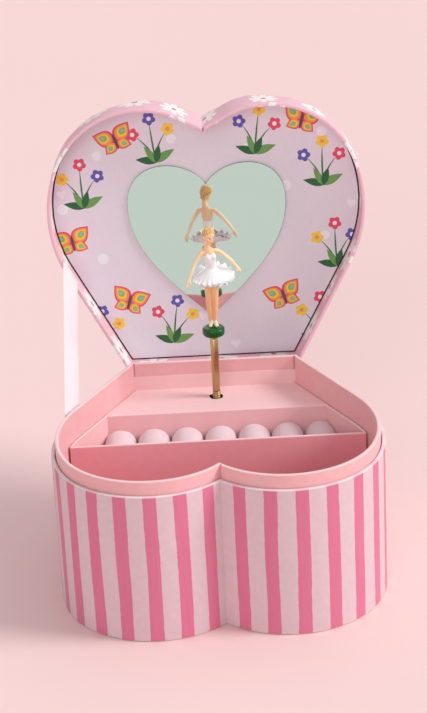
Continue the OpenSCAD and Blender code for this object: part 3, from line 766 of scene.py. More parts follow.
def tray_parts():
    inside = outline(INSERT_D, 4.6)
    span = [p for p in inside if DIVIDER_BACK < p[1] < DECK_FRONT]
    right = sorted((p for p in span if p[0] > 0), key=lambda p: p[1])
    edge = [(side_x(INSERT_D, DIVIDER_BACK), DIVIDER_BACK)] + right
    edge += [(side_x(INSERT_D, DECK_FRONT), DECK_FRONT)]
    floor = edge + [(-x, y) for x, y in reversed(edge)]
    new_mesh("tray_base", *plate(floor, TRAY_Z - TRAY_T, TRAY_Z), LINER, "box", ["tray_floor"], "pink_paper")
    for side, node in ((-1, "tray_end_left"), (1, "tray_end_right")):
        rings = []
        steps = 24
        for i in range(steps + 1):
            y = DIVIDER_BACK + (DECK_FRONT - DIVIDER_BACK) * i / steps
            ring = []
            for d, z in ((5.6, TRAY_Z), (5.6, DECK_TOP - 0.3), (5.35, DECK_TOP), (4.75, DECK_TOP),
                         (4.5, DECK_TOP - 0.3), (4.5, TRAY_Z)):
                ring.append((side * side_x(d, y), y, z))
            rings.append(ring)
        new_mesh(node + "_card", *loft(rings), INSERT, "box", [node], "pink_paper")


tray_parts()


# ---------------------------------------------------------------- ring rolls
ROLL_R, ROLL_PITCH, ROLL_SHIFT = 8.3, 16.8, 1.6
ROLL_Y0, ROLL_Y1 = 19.3, 50.8
ROLL_WALL, DRAWN_LENGTH = 5.8, 1.8


def roll_pattern():
    """A stuffed roll lying along the tray, its ends drawn in, pressed flat by the walls and the floor."""
    g = Pattern("ring_roll", Radius=ROLL_R, Front=ROLL_Y0, Back=ROLL_Y1, Middle=(0.0, 0.0, 0.0), Phase=0.0)
    front, back, radius = g.given["Front"], g.given["Back"], g.given["Radius"]
    mid_x, _, mid_z = g.split(g.given["Middle"])
    line = g.add("GeometryNodeCurvePrimitiveLine", {"Start": g.join(mid_x, front, mid_z),
                                                    "End": g.join(mid_x, back, mid_z)})
    path = g.add("GeometryNodeResampleCurve", {"Curve": line.outputs[0], "Count": 27})
    t = g.add("GeometryNodeSplineParameter").outputs["Factor"]
    nearer = g.math("MINIMUM", t, g.math("SUBTRACT", 1.0, t))
    from_end = g.math("MULTIPLY", nearer, g.math("SUBTRACT", back, front))
    drawn_in = g.math("MAXIMUM", g.math("SUBTRACT", 1.0, g.math("DIVIDE", from_end, DRAWN_LENGTH)), 0.0)
    fullness = g.math("MULTIPLY_ADD", g.math("MULTIPLY", drawn_in, drawn_in), -0.16, 1.0)
    ring = g.add("GeometryNodeCurvePrimitiveCircle", {"Resolution": 64, "Radius": 1.0})
    skin = g.add("GeometryNodeCurveToMesh", {"Curve": path.outputs[0], "Profile Curve": ring.outputs[0],
                                             "Scale": g.math("MULTIPLY", fullness, radius),
                                             "Fill Caps": True})
    where = g.add("GeometryNodeInputPosition").outputs[0]
    x, y, z = g.split(where)
    out_x, out_z = g.math("SUBTRACT", x, mid_x), g.math("SUBTRACT", z, mid_z)
    around = g.math("ARCTAN2", out_z, out_x)
    dent = g.math("SINE", g.math("MULTIPLY_ADD", around, 3.0, g.given["Phase"]))
    lumps = g.grain(g.vmath("MULTIPLY", where, (1.0, 0.4, 1.0)), 0.35, 1)
    shrink = g.math("ADD", g.math("MULTIPLY_ADD", dent, -0.006, 0.988),
                    g.math("MULTIPLY_ADD", lumps, 0.02, -0.01))
    x = g.math("MULTIPLY_ADD", out_x, shrink, mid_x)
    z = g.math("MAXIMUM", g.math("MULTIPLY_ADD", out_z, shrink, mid_z), TRAY_Z + 0.02)
    # The wall beside the tray is an arc in front and straight behind
    r = SIDE_R - ROLL_WALL
    arc = g.math("ADD", g.math("SQRT", g.math("MULTIPLY_ADD", g.math("MULTIPLY", y, y), -1.0, r * r)), SIDE_X)
    straight = g.math("MULTIPLY_ADD", y, -math.tan(TANGENT), SIDE_X + r / math.cos(TANGENT))
    wall = g.between(arc, straight, g.math("GREATER_THAN", y, r * math.sin(TANGENT)))
    x = g.math("MAXIMUM", g.math("MINIMUM", x, wall), g.math("MULTIPLY", wall, -1.0))
    moved = g.add("GeometryNodeSetPosition", {"Geometry": skin.outputs[0], "Position": g.join(x, y, z)})
    g.close(moved.outputs[0])
    return g


def ring_rolls():
    rng = random.Random(11)
    pattern = roll_pattern()
    for k in range(1, 8):
        middle = (ROLL_SHIFT + (k - 4) * ROLL_PITCH, 0.0, TRAY_Z + ROLL_R)
        roll = pattern.make(f"roll_{k}", VELVET, Radius=ROLL_R + rng.uniform(-0.12, 0.03),
                            Front=ROLL_Y0, Back=ROLL_Y1, Middle=middle, Phase=rng.uniform(0, 6))
        dress(roll, VELVET, "box", [f"ring_roll_{k}"])


ring_rolls()

# ---------------------------------------------------------------- lid
LID_OPEN = math.radians(96)
HINGE_Z = SHELL_TOP
# Heights in the lid are counted from its lip
LID_DEPTH, RIM_W, LINING_Z, MIRROR_T = 18.0, 1.7, 15.8, 1.1


def opened(p):
    """Where a point of the closed lid, with its height counted from the lip, stands in the open lid."""
    y = p[1] - BACK_Y
    c, s = math.cos(LID_OPEN), math.sin(LID_OPEN)
    return (p[0], BACK_Y + y * c + p[2] * s, HINGE_Z - y * s + p[2] * c)


def bunched(p):
    """A point of the closed lid's outline, with the paper bunched up and the board less deep at the notch."""
    x, y, h = p
    if y > 0:
        return p
    back = 2.2 * math.exp(-(x / 30) ** 4) + 2.0 * math.exp(-(x / 5) ** 2)
    lip = 1.8 * math.exp(-(x / 4.5) ** 2)
    lift = lip + (back - lip) * h / LID_DEPTH
    lift += 0.16 * math.sin(0.43 * x + 0.9) * math.sin(0.17 * x) * h / LID_DEPTH
    return (x, y - lift, h)


def lid_case():
    """Rim and top of the lid, wrapped in one paper."""
    lip, top, r = 0.1, LID_DEPTH, 0.7
    section = [(RIM_W, 16.5), (RIM_W, lip + 0.4), (RIM_W - 0.25, lip + 0.1), (RIM_W / 2, lip),
               (0.25, lip + 0.1), (0, lip + 0.4), (0, top - r)]
    section += [(r - r * math.cos(a), top - r + r * math.sin(a)) for a in (0.4, 0.8, 1.2, math.pi / 2)]
    section += [(3.0, top), (6.0, top)]
    rings = [outline(d, 1.4) for d, _ in section]
    n, m = len(rings[0]), len(section)
    verts = [(rings[j][i][0], rings[j][i][1], section[j][1]) for i in range(n) for j in range(m)]
    v_run = [0.0]
    for a, b in zip(section, section[1:]):
        v_run.append(v_run[-1] + math.dist(a, b))
    faces, uvs = [], []
    for i in range(n):
        k = (i + 1) % n
        u0, u1 = RUN[i], RUN[i + 1]
        for j in range(m - 1):
            faces.append((i * m + j, k * m + j, k * m + j + 1, i * m + j + 1))
            uvs.append(((u0, v_run[j]), (u1, v_run[j]), (u1, v_run[j + 1]), (u0, v_run[j + 1])))
    under = tuple(i * m for i in range(n))
    over = tuple(i * m + m - 1 for i in range(n))
    for cap in (under, over):
        faces.append(cap)
        uvs.append(tuple((verts[i][0] + 300, verts[i][1]) for i in cap))
    verts = [opened(bunched(v)) for v in verts]
    case = new_mesh("lid_case", verts, faces, [LID_PAPER, PAINTED_SHADE_BOARD], "lid", ["lid_rim", "lid_top_board"],
                    "lid_paper", uvs=uvs)
    # The board's under face, seen in the gap round the lining, takes the dark board as painted shade
    inside = (Vector(opened((0, 0, section[0][1]))) * MM).y
    for polygon in case.data.polygons:
        if len(polygon.vertices) > 4 and abs(polygon.center.y - inside) < 0.01:
            polygon.material_index = int(polygon.normal.y < 0)


lid_case()


# The lining's print: flat shapes in millimetres, right and up as seen in the open lid
GROUND = tint(226, 218, 228)
DOT = tint(236, 236, 243)
LEAF_DARK, LEAF_LIGHT, STEM = tint(40, 98, 56), tint(104, 156, 84), tint(48, 110, 62)
YELLOW, CORAL, VIOLET, WHITE = tint(240, 204, 74), tint(222, 76, 104), tint(94, 88, 176), tint(238, 234, 240)
ORANGE, BLUE, LEAF_BAND = tint(238, 150, 82), tint(120, 190, 206), tint(150, 180, 80)


def turned(points, x, y, angle, size=1.0):
    c, s = math.cos(angle) * size, math.sin(angle) * size
    return [(x + p[0] * c - p[1] * s, y + p[0] * s + p[1] * c) for p in points]


def almond(length, width, bend=0.0, steps=9):
    """A leaf from its stalk at the origin, along the upward axis."""
    left, right = [], []
    for i in range(steps + 1):
        t = i / steps
        half = width / 2 * math.sin(math.pi * t ** 0.8)
        x = bend * t * t * length
        left.append((x - half, t * length))
        right.append((x + half, t * length))
    return left + right[-2:0:-1]


def disc(r, steps=14, squash=1.0):
    return [(r * math.cos(a), r * squash * math.sin(a)) for a in round_angles(steps)]


def heart_spot(size):
    pts = []
    for t in round_angles(24, 0.13):
        rise = 13 * math.cos(t) - 5 * math.cos(2 * t) - 2 * math.cos(3 * t) - math.cos(4 * t)
        pts.append((size * math.sin(t) ** 3, size * rise / 16))
    return pts


POSY_STEMS = ((-0.42, 20), (0.06, 26), (0.5, 19))


def posy(x, y, size, turn, colours):
    """Three round blossoms on stems between leaves."""
    shapes = []
    for lean, reach in POSY_STEMS:
        stem = almond(reach, 1.0, bend=lean * 0.9)
        shapes.append((turned(stem, x, y, turn - lean * 0.25, size), STEM))
    for lean, length, wide, colour in ((1.0, 12, 4.6, LEAF_DARK), (-0.95, 13, 5.0, LEAF_LIGHT),
                                       (0.35, 12, 4.0, LEAF_LIGHT), (-0.3, 11, 4.2, LEAF_DARK)):
        shapes.append((turned(almond(length, wide, bend=-lean * 0.2), x, y, turn + lean, size), colour))
    for k, (lean, reach) in enumerate(POSY_STEMS):
        tip = (lean * 0.9 * reach, reach)
        cx, cy = turned([tip], x, y, turn - lean * 0.25, size)[0]
        for a in round_angles(5, k):
            spot = (cx + 2.0 * size * math.cos(a), cy + 2.0 * size * math.sin(a))
            shapes.append((turned(disc(2.0, 10, 0.85), *spot, a, size), colours[k]))
        shapes.append((turned(disc(1.3, 10), cx, cy, 0, size), WHITE if colours[k] != YELLOW else ORANGE))
    return shapes


def butterfly(x, y, size, turn):
    """Wings of coloured bands, one inside the other."""
    shapes = []
    for side in (-1, 1):
        for scale, colour in ((1.0, CORAL), (0.78, ORANGE), (0.58, YELLOW), (0.38, LEAF_BAND), (0.2, BLUE)):
            upper = turned(almond(15, 11), 0, 0, -side * 0.95)
            lower = turned(almond(10.5, 8), 0, 0, -side * 2.15)
            for wing, hub in ((upper, (side * 7, 5)), (lower, (side * 5, -3.4))):
                wing = [(hub[0] + (a - hub[0]) * scale, hub[1] + (b - hub[1]) * scale) for a, b in wing]
                shapes.append((turned(wing, x, y, turn, size), colour))
    shapes.append((turned(disc(1.0, 10, 5.5), x, y, turn, size), tint(90, 70, 96)))
    return shapes


def lining_shapes():
    shapes = []
    rng = random.Random(23)
    for i in range(-2, 3):
        for j in range(0, 4):
            x = i * 38 + (19 if j % 2 else 0)
            y = 30 + j * 27 + (7 if i % 2 else 0)
            shapes.append((turned(disc(2.4 + 0.5 * rng.random(), 20), x + 3, y, 0), DOT))
    flowers = ((YELLOW, CORAL, VIOLET), (CORAL, VIOLET, YELLOW), (VIOLET, YELLOW, CORAL))
    spots = [(-62, 84), (-57, 6), (60, 90), (56, 8), (-24, 106), (26, 108), (66, 47), (-20, 10)]
    for k, (x, y) in enumerate(spots):
        shapes += posy(x, y, 0.88, rng.uniform(-0.2, 0.2), flowers[k % 3])
    for x, y, turn in ((-44, 118, 0.35), (50, 124, -0.25), (-42, 33, -0.3), (38, 32, 0.3), (-69, 66, 0.2)):
        shapes += butterfly(x, y, 0.8, turn)
    for x, y in ((12, 8), (-73, 92), (74, 80), (-4, 24)):
        shapes.append((turned(heart_spot(2.6), x, y, rng.uniform(-0.3, 0.3)), WHITE))
    return shapes


def lining_panel():
    """The printed lining: a flat board whose front is cut into the shapes of its print."""
    edge = [(x, BACK_Y - y) for x, y in outline(2.5, 3.4)]
    points, loops, inks = [], [], []

    def enter(shape, ink):
        area = sum(p[0] * q[1] - q[0] * p[1] for p, q in zip(shape, shape[1:] + shape[:1]))
        shape = shape if area > 0 else shape[::-1]
        loops.append(list(range(len(points), len(points) + len(shape))))
        points.extend(Vector(p) for p in shape)
        inks.append(ink)

    enter(edge, GROUND)
    for shape, ink in lining_shapes():
        enter(shape, ink)
    out_v, _, out_f, _, _, owners = delaunay_2d_cdt(points, [], loops, 0, 1e-5, True)
    verts = [(p[0], BACK_Y - p[1], LINING_Z) for p in out_v]
    faces, face_inks = [], []
    for face, owner in zip(out_f, owners):
        if 0 in owner:
            faces.append(tuple(face))
            face_inks.append(inks[max(owner)])
    count = len(verts)
    used = {i for face in faces for i in face}
    walked = {pair: None for face in faces for pair in zip(face, face[1:] + face[:1])}
    rim = [(a, b) for a, b in walked if (b, a) not in walked]
    verts += [(x, y, LINING_Z + 0.8) for x, y, _ in verts[:count]]
    for face in list(faces):
        faces.append(tuple(i + count for i in reversed(face)))
        face_inks.append(GROUND)
    for a, b in rim:
        faces.append((b, a, a + count, b + count))
        face_inks.append(GROUND)
    order = sorted(used)
    index = {old: new for new, old in enumerate(order)}
    index.update({old + count: new + len(order) for new, old in enumerate(order)})
    flat = [verts[i] for i in order] + [verts[i + count] for i in order]
    faces = [tuple(index[i] for i in face) for face in faces]
    mesh = bpy.data.meshes.new("printed_lining")
    mesh.from_pydata([Vector(opened(v)) * MM for v in flat], [], faces)
    ink = mesh.attributes.new("ink", "FLOAT_COLOR", "FACE")
    ink.data.foreach_set("color", [c for colour in face_inks for c in colour])
    face_outwards(mesh)
    dress(placed("printed_lining", mesh), LINING, "lid", ["lid_lining_panel"], smooth=False)


lining_panel()


def cubic(p, t):
    k = 1 - t
    return tuple(k ** 3 * a + 3 * k * k * t * b + 3 * k * t * t * c + t ** 3 * d for a, b, c, d in zip(*p))


def mirror_outline(steps=28):
    top = [cubic(((0, -10), (9, -24.5), (40.3, -26), (40.3, -0.4)), i / steps) for i in range(steps + 1)]
    side = [cubic(((40.3, -0.4), (40.3, 20), (27, 36), (0, 59.5)), i / steps) for i in range(1, steps + 1)]
    half = top + side
    return [(x + 0.3, y) for x, y in half + [(-x, y) for x, y in half[-2:0:-1]]]


def mirror():
    """Mirror glass with a narrow polished bevel."""
    pts = mirror_outline()
    n = len(pts)
    verts = []
    for z, inset in ((LINING_Z, 0.0), (LINING_Z - MIRROR_T + 0.1, 0.0), (LINING_Z - MIRROR_T, 0.12)):
        for i, p in enumerate(pts):
            a, b = Vector(pts[i - 1]), Vector(pts[(i + 1) % n])
            along = (b - a).normalized()
            inward = Vector((-along.y, along.x))
            verts.append(opened((p[0] + inward.x * inset, p[1] + inward.y * inset, z)))
    faces = [tuple(range(n)), tuple(range(2 * n, 3 * n))] + bands(n, 3)
    obj = new_mesh("heart_mirror", verts, faces, [MIRROR, MIRROR_EDGE], "lid", ["lid_mirror"], "mirror")
    for polygon in obj.data.polygons:
        polygon.material_index = 0 if len(polygon.vertices) > 4 else 1


mirror()


def hinge_paper():
    """One strip of the wrapping paper, glued to the box's back and to the lid's, that bends at the hinge."""
    half = BACK_HALF - 0.5
    glued = BACK_Y + 0.13
    path = [(glued, 62.6), (glued, 69.0), (glued, 74.9), (84.2, 75.6), (84.42, 76.12), (84.9, 76.3)]
    lid_line = [opened((0, glued, h)) for h in (1.4, 5.0, 9.0, 13.6)]
    path += [(p[1], p[2]) for p in lid_line]
    steps_x, t = 24, 0.11
    rings = []
    for i in range(steps_x + 1):
        x = -half + 2 * half * i / steps_x
        front, back = [], []
        for k, (y, z) in enumerate(path):
            a, b = path[max(k - 1, 0)], path[min(k + 1, len(path) - 1)]
            along = Vector((b[0] - a[0], b[1] - a[1])).normalized()
            out = Vector((along.y, -along.x))
            front.append((x, y + out.x * t, z + out.y * t))
            back.append((x, y - out.x * t, z - out.y * t))
        rings.append(front + back[::-1])
    verts, faces = loft(rings)
    uvs = [tuple((verts[i][0] + 500, verts[i][1] + verts[i][2]) for i in face) for face in faces]
    obj = new_mesh("hinge_paper", verts, faces, LID_PAPER, None, uvs=uvs)
    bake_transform(obj)
    dress(obj, None, None, ["hinge_cloth_base", "hinge_cloth_lid"])


hinge_paper()


RIBBON_W = 10.2


def ribbon():
    """Satin ribbon from the gap beside the collar to the inside of the lid's rim."""
    free, glued, across = 30, 5, 10
    lo = [Vector((-74.35, 22.2, 77.2)), Vector((-67.92, 35.4, 77.2))]
    lip, tab = ([Vector(opened((x, y, h))) for x, y in ((-73.6, 23), (-67.2, 36))] for h in (0.3, 6))
    stations = [(lo, lip, i / free) for i in range(free)]
    stations += [(lip, tab, i / (glued - 1)) for i in range(glued)]
    rows, length = [], [0.0]
    for a, b, t in stations:
        rows.append((a[0].lerp(b[0], t), a[1].lerp(b[1], t)))
    verts, faces, uvs = [], [], []
    for k, (p, q) in enumerate(rows):
        if k:
            length.append(length[-1] + ((p + q) / 2 - (rows[k - 1][0] + rows[k - 1][1]) / 2).length)
        for side in (0, 1):
            for i in range(across + 1):
                w = i / across
                point = p.lerp(q, w)
                cup = 0.10 * (1 - (2 * w - 1) ** 2) + 0.05 * math.sin(k * 0.9) * math.sin(math.pi * w)
                edge = 0.5 if i in (0, across) else 1.0
                point.x += 0.02 + cup * (1 if k < free - 1 else 0) + (0.2 * edge if side else 0.0)
                verts.append(tuple(point))
    n = across + 1
    for k in range(len(rows) - 1):
        a, b = k * 2 * n, (k + 1) * 2 * n
        for i in range(across):
            u0, u1 = i / across * RIBBON_W, (i + 1) / across * RIBBON_W
            v0, v1 = length[k], length[k + 1]
            for off in (0, n):
                faces.append((a + off + i, a + off + i + 1, b + off + i + 1, b + off + i))
                uvs.append(((u0, v0), (u1, v0), (u1, v1), (u0, v1)))
        for i in (0, across):
            faces.append((a + i, b + i, b + n + i, a + n + i))
            u = i / across * RIBBON_W
            uvs.append(((u, length[k]), (u, length[k + 1]), (u, length[k + 1]), (u, length[k])))
    for a in (0, (len(rows) - 1) * 2 * n):
        v = length[0] if a == 0 else length[-1]
        for i in range(across):
            faces.append((a + i, a + i + 1, a + n + i + 1, a + n + i))
            uvs.append(((i, v), (i + 1, v), (i + 1, v), (i, v)))
    obj = new_mesh("satin_ribbon", verts, faces, SATIN, None, uvs=uvs)
    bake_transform(obj)
    dress(obj, None, None, ["ribbon_stay"])


ribbon()

# ---------------------------------------------------------------- stand
DISC_Z, DISC_R, DISC_T, TUBE_R = 102.8, 5.6, 4.4, 1.95
# Height of the coil's foot, and the low and high heights of its bend
COIL_FOOT, COIL_BEND_LOW, COIL_BEND_HIGH = 68.3, 68.8, 71.2


def fold_coil():
    """Close wound brass coil at the foot of the stand."""
    g = Pattern("wound_coil", Turns=8.0, Radius=1.72, Height=3.5, Wire=0.22, Foot=(0.0, 0.0, 0.0))
    spiral = g.add("GeometryNodeCurveSpiral", {
        "Resolution": 20, "Start Radius": g.given["Radius"], "End Radius": g.given["Radius"],
        "Rotations": g.given["Turns"], "Height": g.given["Height"]})
    wire = g.add("GeometryNodeCurvePrimitiveCircle", {"Resolution": 8, "Radius": g.given["Wire"]})
    skin = g.add("GeometryNodeCurveToMesh", {"Curve": spiral.outputs[0], "Profile Curve": wire.outputs[0],
                                             "Fill Caps": True})
    stood = g.add("GeometryNodeTransform", {"Geometry": skin.outputs[0], "Translation": g.given["Foot"]})
    g.close(stood.outputs[0])
    obj = g.make("stand_coil", BRASS, Turns=8.0, Radius=1.72, Height=3.5, Wire=0.22,
                 Foot=(HOLE_X, HOLE_Y, COIL_FOOT))
    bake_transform(obj)
    dress(obj, None, None, ["fold_spring"])


fold_coil()


def stand():
    seam = math.radians(-52)
    steps = 56
    rings = []
    for z, r in ((72.0, TUBE_R - 0.1), (72.15, TUBE_R), (86, TUBE_R), (100.6, TUBE_R), (100.8, TUBE_R - 0.1),
                 (101.2, TUBE_R - 0.12), (101.6, TUBE_R - 0.12), (101.9, TUBE_R), (102.9, TUBE_R - 0.02)):
        ring = []
        for i, a in enumerate(round_angles(steps, seam)):
            slit = 0.3 if i == 0 else (0.1 if i in (1, steps - 1) else 0.0)
            if 101 < z < 101.8 and i % 8 < 4:
                slit += 0.42
            ring.append((HOLE_X + (r - slit) * math.cos(a), HOLE_Y + (r - slit) * math.sin(a), z))
        rings.append(ring)
    new_mesh("brass_tube", *loft(rings), BRASS, "figure", ["stand_tube"], "brass")
    b, z = 1.3, DISC_Z
    profile = [(0.02, z), (DISC_R - b - 0.3, z)]
    profile += [(DISC_R - b + b * math.sin(a), z + b - b * math.cos(a)) for a in (0.35, 0.7, 1.05, 1.4)]
    profile += [(DISC_R, z + 1.7), (DISC_R, z + 2.7)]
    profile += [(DISC_R - b + b * math.cos(a), z + DISC_T - b + b * math.sin(a))
                for a in (0.2, 0.55, 0.9, 1.25)]
    profile += [(DISC_R - b - 0.2, z + DISC_T), (2.2, z + DISC_T - 0.1), (0.02, z + DISC_T)]
    new_mesh("green_disc", *lathe(profile, HOLE_X, HOLE_Y, 72), GREEN, "figure", ["stand_disc"],
             "green_plastic")


stand()

# ---------------------------------------------------------------- dancer
# Points of the dancer are in millimetres from the feet, and the trunk is turned on its axis
FOOT = Vector((HOLE_X, HOLE_Y, DISC_Z + DISC_T))
BODY_TURN = math.radians(20)
HEAD_AT = Vector((-0.35, -4.2, 50.1))
HEAD_SIZE = 1.07
HEAD_POSE = (Matrix.Rotation(math.radians(34), 3, "Z") @ Matrix.Rotation(math.radians(8), 3, "Y")
             @ Matrix.Rotation(math.radians(14), 3, "X"))
# Height, middle and half sizes of the trunk
TRUNK = ((22.5, 0.3, 0.2, 3.1, 2.3), (26.0, 0.3, 0.1, 3.2, 2.5), (30.0, 0.3, -0.3, 2.8, 2.1),
         (33.0, 0.2, -0.8, 2.65, 1.95), (36.5, 0.0, -1.5, 2.85, 2.1), (39.5, -0.3, -2.1, 3.05, 2.1),
         (41.2, -0.5, -2.5, 3.0, 1.75), (42.4, -0.8, -2.8, 2.5, 1.55), (43.5, -1.1, -3.0, 1.75, 1.45),
         (44.8, -1.3, -3.3, 1.38, 1.38), (46.2, -1.3, -3.6, 1.3, 1.35), (48.0, -1.1, -3.9, 1.3, 1.4))
TRUNK_STATIONS = tuple((x, y, z, a, b) for z, x, y, a, b in TRUNK)
LEFT_ARM = ((-3.0, -3.4, 41.7, 1.1, 1.1), (-4.5, -3.9, 41.5, 1.2, 1.15), (-6.0, -4.5, 39.2, 1.1, 1.05),
            (-8.0, -5.2, 35.7, 0.95, 0.95), (-9.3, -5.8, 32.7, 0.95, 0.9), (-10.4, -6.3, 29.9, 0.7, 0.65),
            (-11.0, -6.5, 28.3, 0.95, 0.6), (-11.5, -6.65, 26.5, 1.2, 0.55), (-11.8, -6.75, 25.0, 0.95, 0.45),
            (-12.0, -6.8, 23.9, 0.5, 0.3))
RIGHT_ARM = ((2.0, -1.7, 41.6, 1.1, 1.1), (3.6, -1.1, 41.3, 1.2, 1.15), (5.8, -0.4, 39.6, 1.1, 1.05),
             (8.8, 0.6, 36.6, 0.98, 0.95), (10.9, 1.4, 34.0, 0.95, 0.9), (12.7, 2.2, 31.4, 0.7, 0.65),
             (13.3, 2.45, 30.4, 0.85, 0.55), (13.9, 2.7, 29.3, 1.05, 0.5), (14.5, 2.9, 28.2, 0.85, 0.4),
             (15.0, 3.1, 27.3, 0.45, 0.28))
LEG = ((1.0, 0.1, 2.0, 1.05, 1.05), (1.05, 0.1, 4.5, 1.12, 1.1), (1.35, 0.25, 8.6, 1.48, 1.55),
       (1.5, 0.1, 12.2, 1.52, 1.45), (1.55, 0.0, 13.6, 1.58, 1.52), (1.65, 0.0, 18.0, 1.78, 1.7),
       (1.75, 0.0, 23.5, 1.98, 1.95))


def side_of_body(x, y):
    c, s = math.cos(BODY_TURN), math.sin(BODY_TURN)
    return Vector((x * c - y * s, x * s + y * c, 0))


def limb(stations, steps=20, mirrored=1):
    """A rounded skin through stations of (x, y, z, half width, half depth)."""
    spots = [Vector((mirrored * s[0], s[1], s[2])) for s in stations]
    rings = []
    for k, spot in enumerate(spots):
        along = (spots[min(k + 1, len(spots) - 1)] - spots[max(k - 1, 0)]).normalized()
        depth = side_of_body(0, 1)
        depth = (depth - along * depth.dot(along)).normalized()
        width = along.cross(depth)
        rings.append([spot + width * stations[k][3] * math.cos(a) + depth * stations[k][4] * math.sin(a)
                      for a in round_angles(steps)])
    for at, away in ((0, -1), (len(rings) - 1, 1)):
        tip = [p.lerp(spots[at], 0.35) for p in rings[at]]
        along = (spots[at] - spots[at + (1 if at == 0 else -1)]).normalized() * min(stations[at][3:]) * 0.6
        tip = [p + along for p in tip]
        if away < 0:
            rings.insert(0, tip)
            spots.insert(0, spots[0])
            stations = (stations[0],) + tuple(stations)
        else:
            rings.append(tip)
    return loft(rings)


def egg(centre, size, pose=Matrix.Identity(3), steps=28):
    """An egg shape about a point, turned by a pose."""
    rings = []
    for j in range(1, steps):
        a = math.pi * j / steps
        ring = []
        for b in round_angles(steps):
            spot = (size[0] * math.sin(a) * math.cos(b), size[1] * math.sin(a) * math.sin(b),
                    size[2] * math.cos(a))
            ring.append(centre + pose @ Vector(spot))
        rings.append(ring)
    return loft(rings)


def moulded(name, forms, finish, node, voxel=0.16, rounds=2, ridges=None):
    """Closed forms melted into one skin, as plastic leaves a mould."""
    bm = bmesh.new()
    for verts, faces in forms:
        fresh = [bm.verts.new(v) for v in verts]
        made = [bm.faces.new([fresh[i] for i in face]) for face in faces]
        bmesh.ops.recalc_face_normals(bm, faces=made)
    mesh = bpy.data.meshes.new(name)
    bm.to_mesh(mesh)
    bm.free()
    obj = placed(name, mesh)
    melt = obj.modifiers.new("melt", "REMESH")
    melt.mode = "VOXEL"
    melt.voxel_size = voxel
    frozen(obj)
    bm = bmesh.new()
    bm.from_mesh(obj.data)
    for _ in range(rounds):
        bmesh.ops.smooth_vert(bm, verts=bm.verts, factor=0.5,
                              use_axis_x=True, use_axis_y=True, use_axis_z=True)
    if ridges:
        bm.normal_update()
        strand = bm.verts.layers.float.new("strand")
        for v in bm.verts:
            v[strand] = ridges(v.co)
            v.co += v.normal * v[strand]
    for v in bm.verts:
        v.co = (v.co + FOOT) * MM
    for face in bm.faces:
        face.smooth = True
    bm.to_mesh(obj.data)
    bm.free()
    return dress(obj, finish, "figure", [node], smooth=False)


def in_head(x, y, z):
    return HEAD_AT + HEAD_POSE @ (HEAD_SIZE * Vector((x, y, z)))


def dancer_body():
    forms = [limb(TRUNK_STATIONS, 32), limb(LEFT_ARM), limb(RIGHT_ARM)]
    forms += [limb(LEG), limb(LEG, mirrored=-1)]
    for centre, size in (((0, 0.3, 0.7), (2.5, 2.95, 3.3)), ((0, -0.8, -1.5), (1.75, 2.0, 2.5)),
                         ((0, -2.2, -3.0), (0.65, 0.5, 0.5)), ((0.95, -1.9, -0.9), (0.8, 0.7, 0.8)),
                         ((-0.95, -1.9, -0.9), (0.8, 0.7, 0.8)), ((0, -2.95, -0.75), (0.3, 0.42, 0.36)),
                         ((0, -2.75, -0.1), (0.22, 0.3, 0.8)), ((0, -2.62, -1.85), (0.55, 0.24, 0.15)),
                         ((0, -2.58, -2.1), (0.45, 0.24, 0.15)), ((2.45, 0.3, -0.3), (0.3, 0.45, 0.75)),
                         ((-2.45, 0.3, -0.3), (0.3, 0.45, 0.75))):
        forms.append(egg(in_head(*centre), [HEAD_SIZE * c for c in size], HEAD_POSE, 20))
    # Thumbs lie beside the palms
    for palm, tip in (((-10.4, -6.7, 27.6), (-9.8, -7.0, 25.7)), ((12.9, 2.2, 29.8), (13.3, 2.2, 27.9))):
        forms.append(limb(((*palm, 0.42, 0.38), (*[(a + b) / 2 for a, b in zip(palm, tip)], 0.38, 0.34),
                           (*tip, 0.26, 0.24)), 12))
    moulded("dancer_body", forms, SKIN, "figure_body", 0.15)


def trunk_at(z):
    """Middle and half sizes of the trunk at a height."""
    for low, high in zip(TRUNK, TRUNK[1:]):
        if z <= high[0]:
            t = max(0.0, (z - low[0]) / (high[0] - low[0]))
            t = t * t * (3 - 2 * t)
            return [a + (b - a) * t for a, b in zip(low[1:], high[1:])]
    return TRUNK[-1][1:]


def bodice():
    """Strapless bodice with a heart neckline in front and a low back."""
    steps, rows = 96, 22
    shells = []
    for grow in (0.26, -0.3):
        rings = []
        for j in range(rows + 1):
            ring = []
            for a in round_angles(steps):
                front = math.degrees(math.atan2(math.sin(a + math.pi / 2), math.cos(a + math.pi / 2)))
                peaks = math.exp(-((abs(front) - 32) / 22) ** 2)
                behind = min(1.0, max(0.0, (abs(front) - 95) / 45))
                top = 39.4 + 1.1 * peaks + 0.6 * math.exp(-(front / 60) ** 2)
                top -= 3.4 * behind * behind * (3 - 2 * behind)
                z = 29.5 + (top - 29.5) * j / rows
                x, y, half, deep = trunk_at(z)
                bust = 0.75 * peaks * math.exp(-((z - 38.6) / 1.7) ** 2)
                hem = 0.05 * math.exp(-((z - top + 0.25) / 0.2) ** 2)
                edge = -0.14 if j == rows else 0.0
                out = grow + (bust + hem + edge if grow > 0 else 0.0)
                spot = side_of_body((half + out) * math.cos(a), (deep + out) * math.sin(a))
                ring.append(Vector((x + spot.x, y + spot.y, z)))
            rings.append(ring)
        shells.append(rings)
    return loft(shells[0] + shells[1][::-1], cap=False, close_path=True)


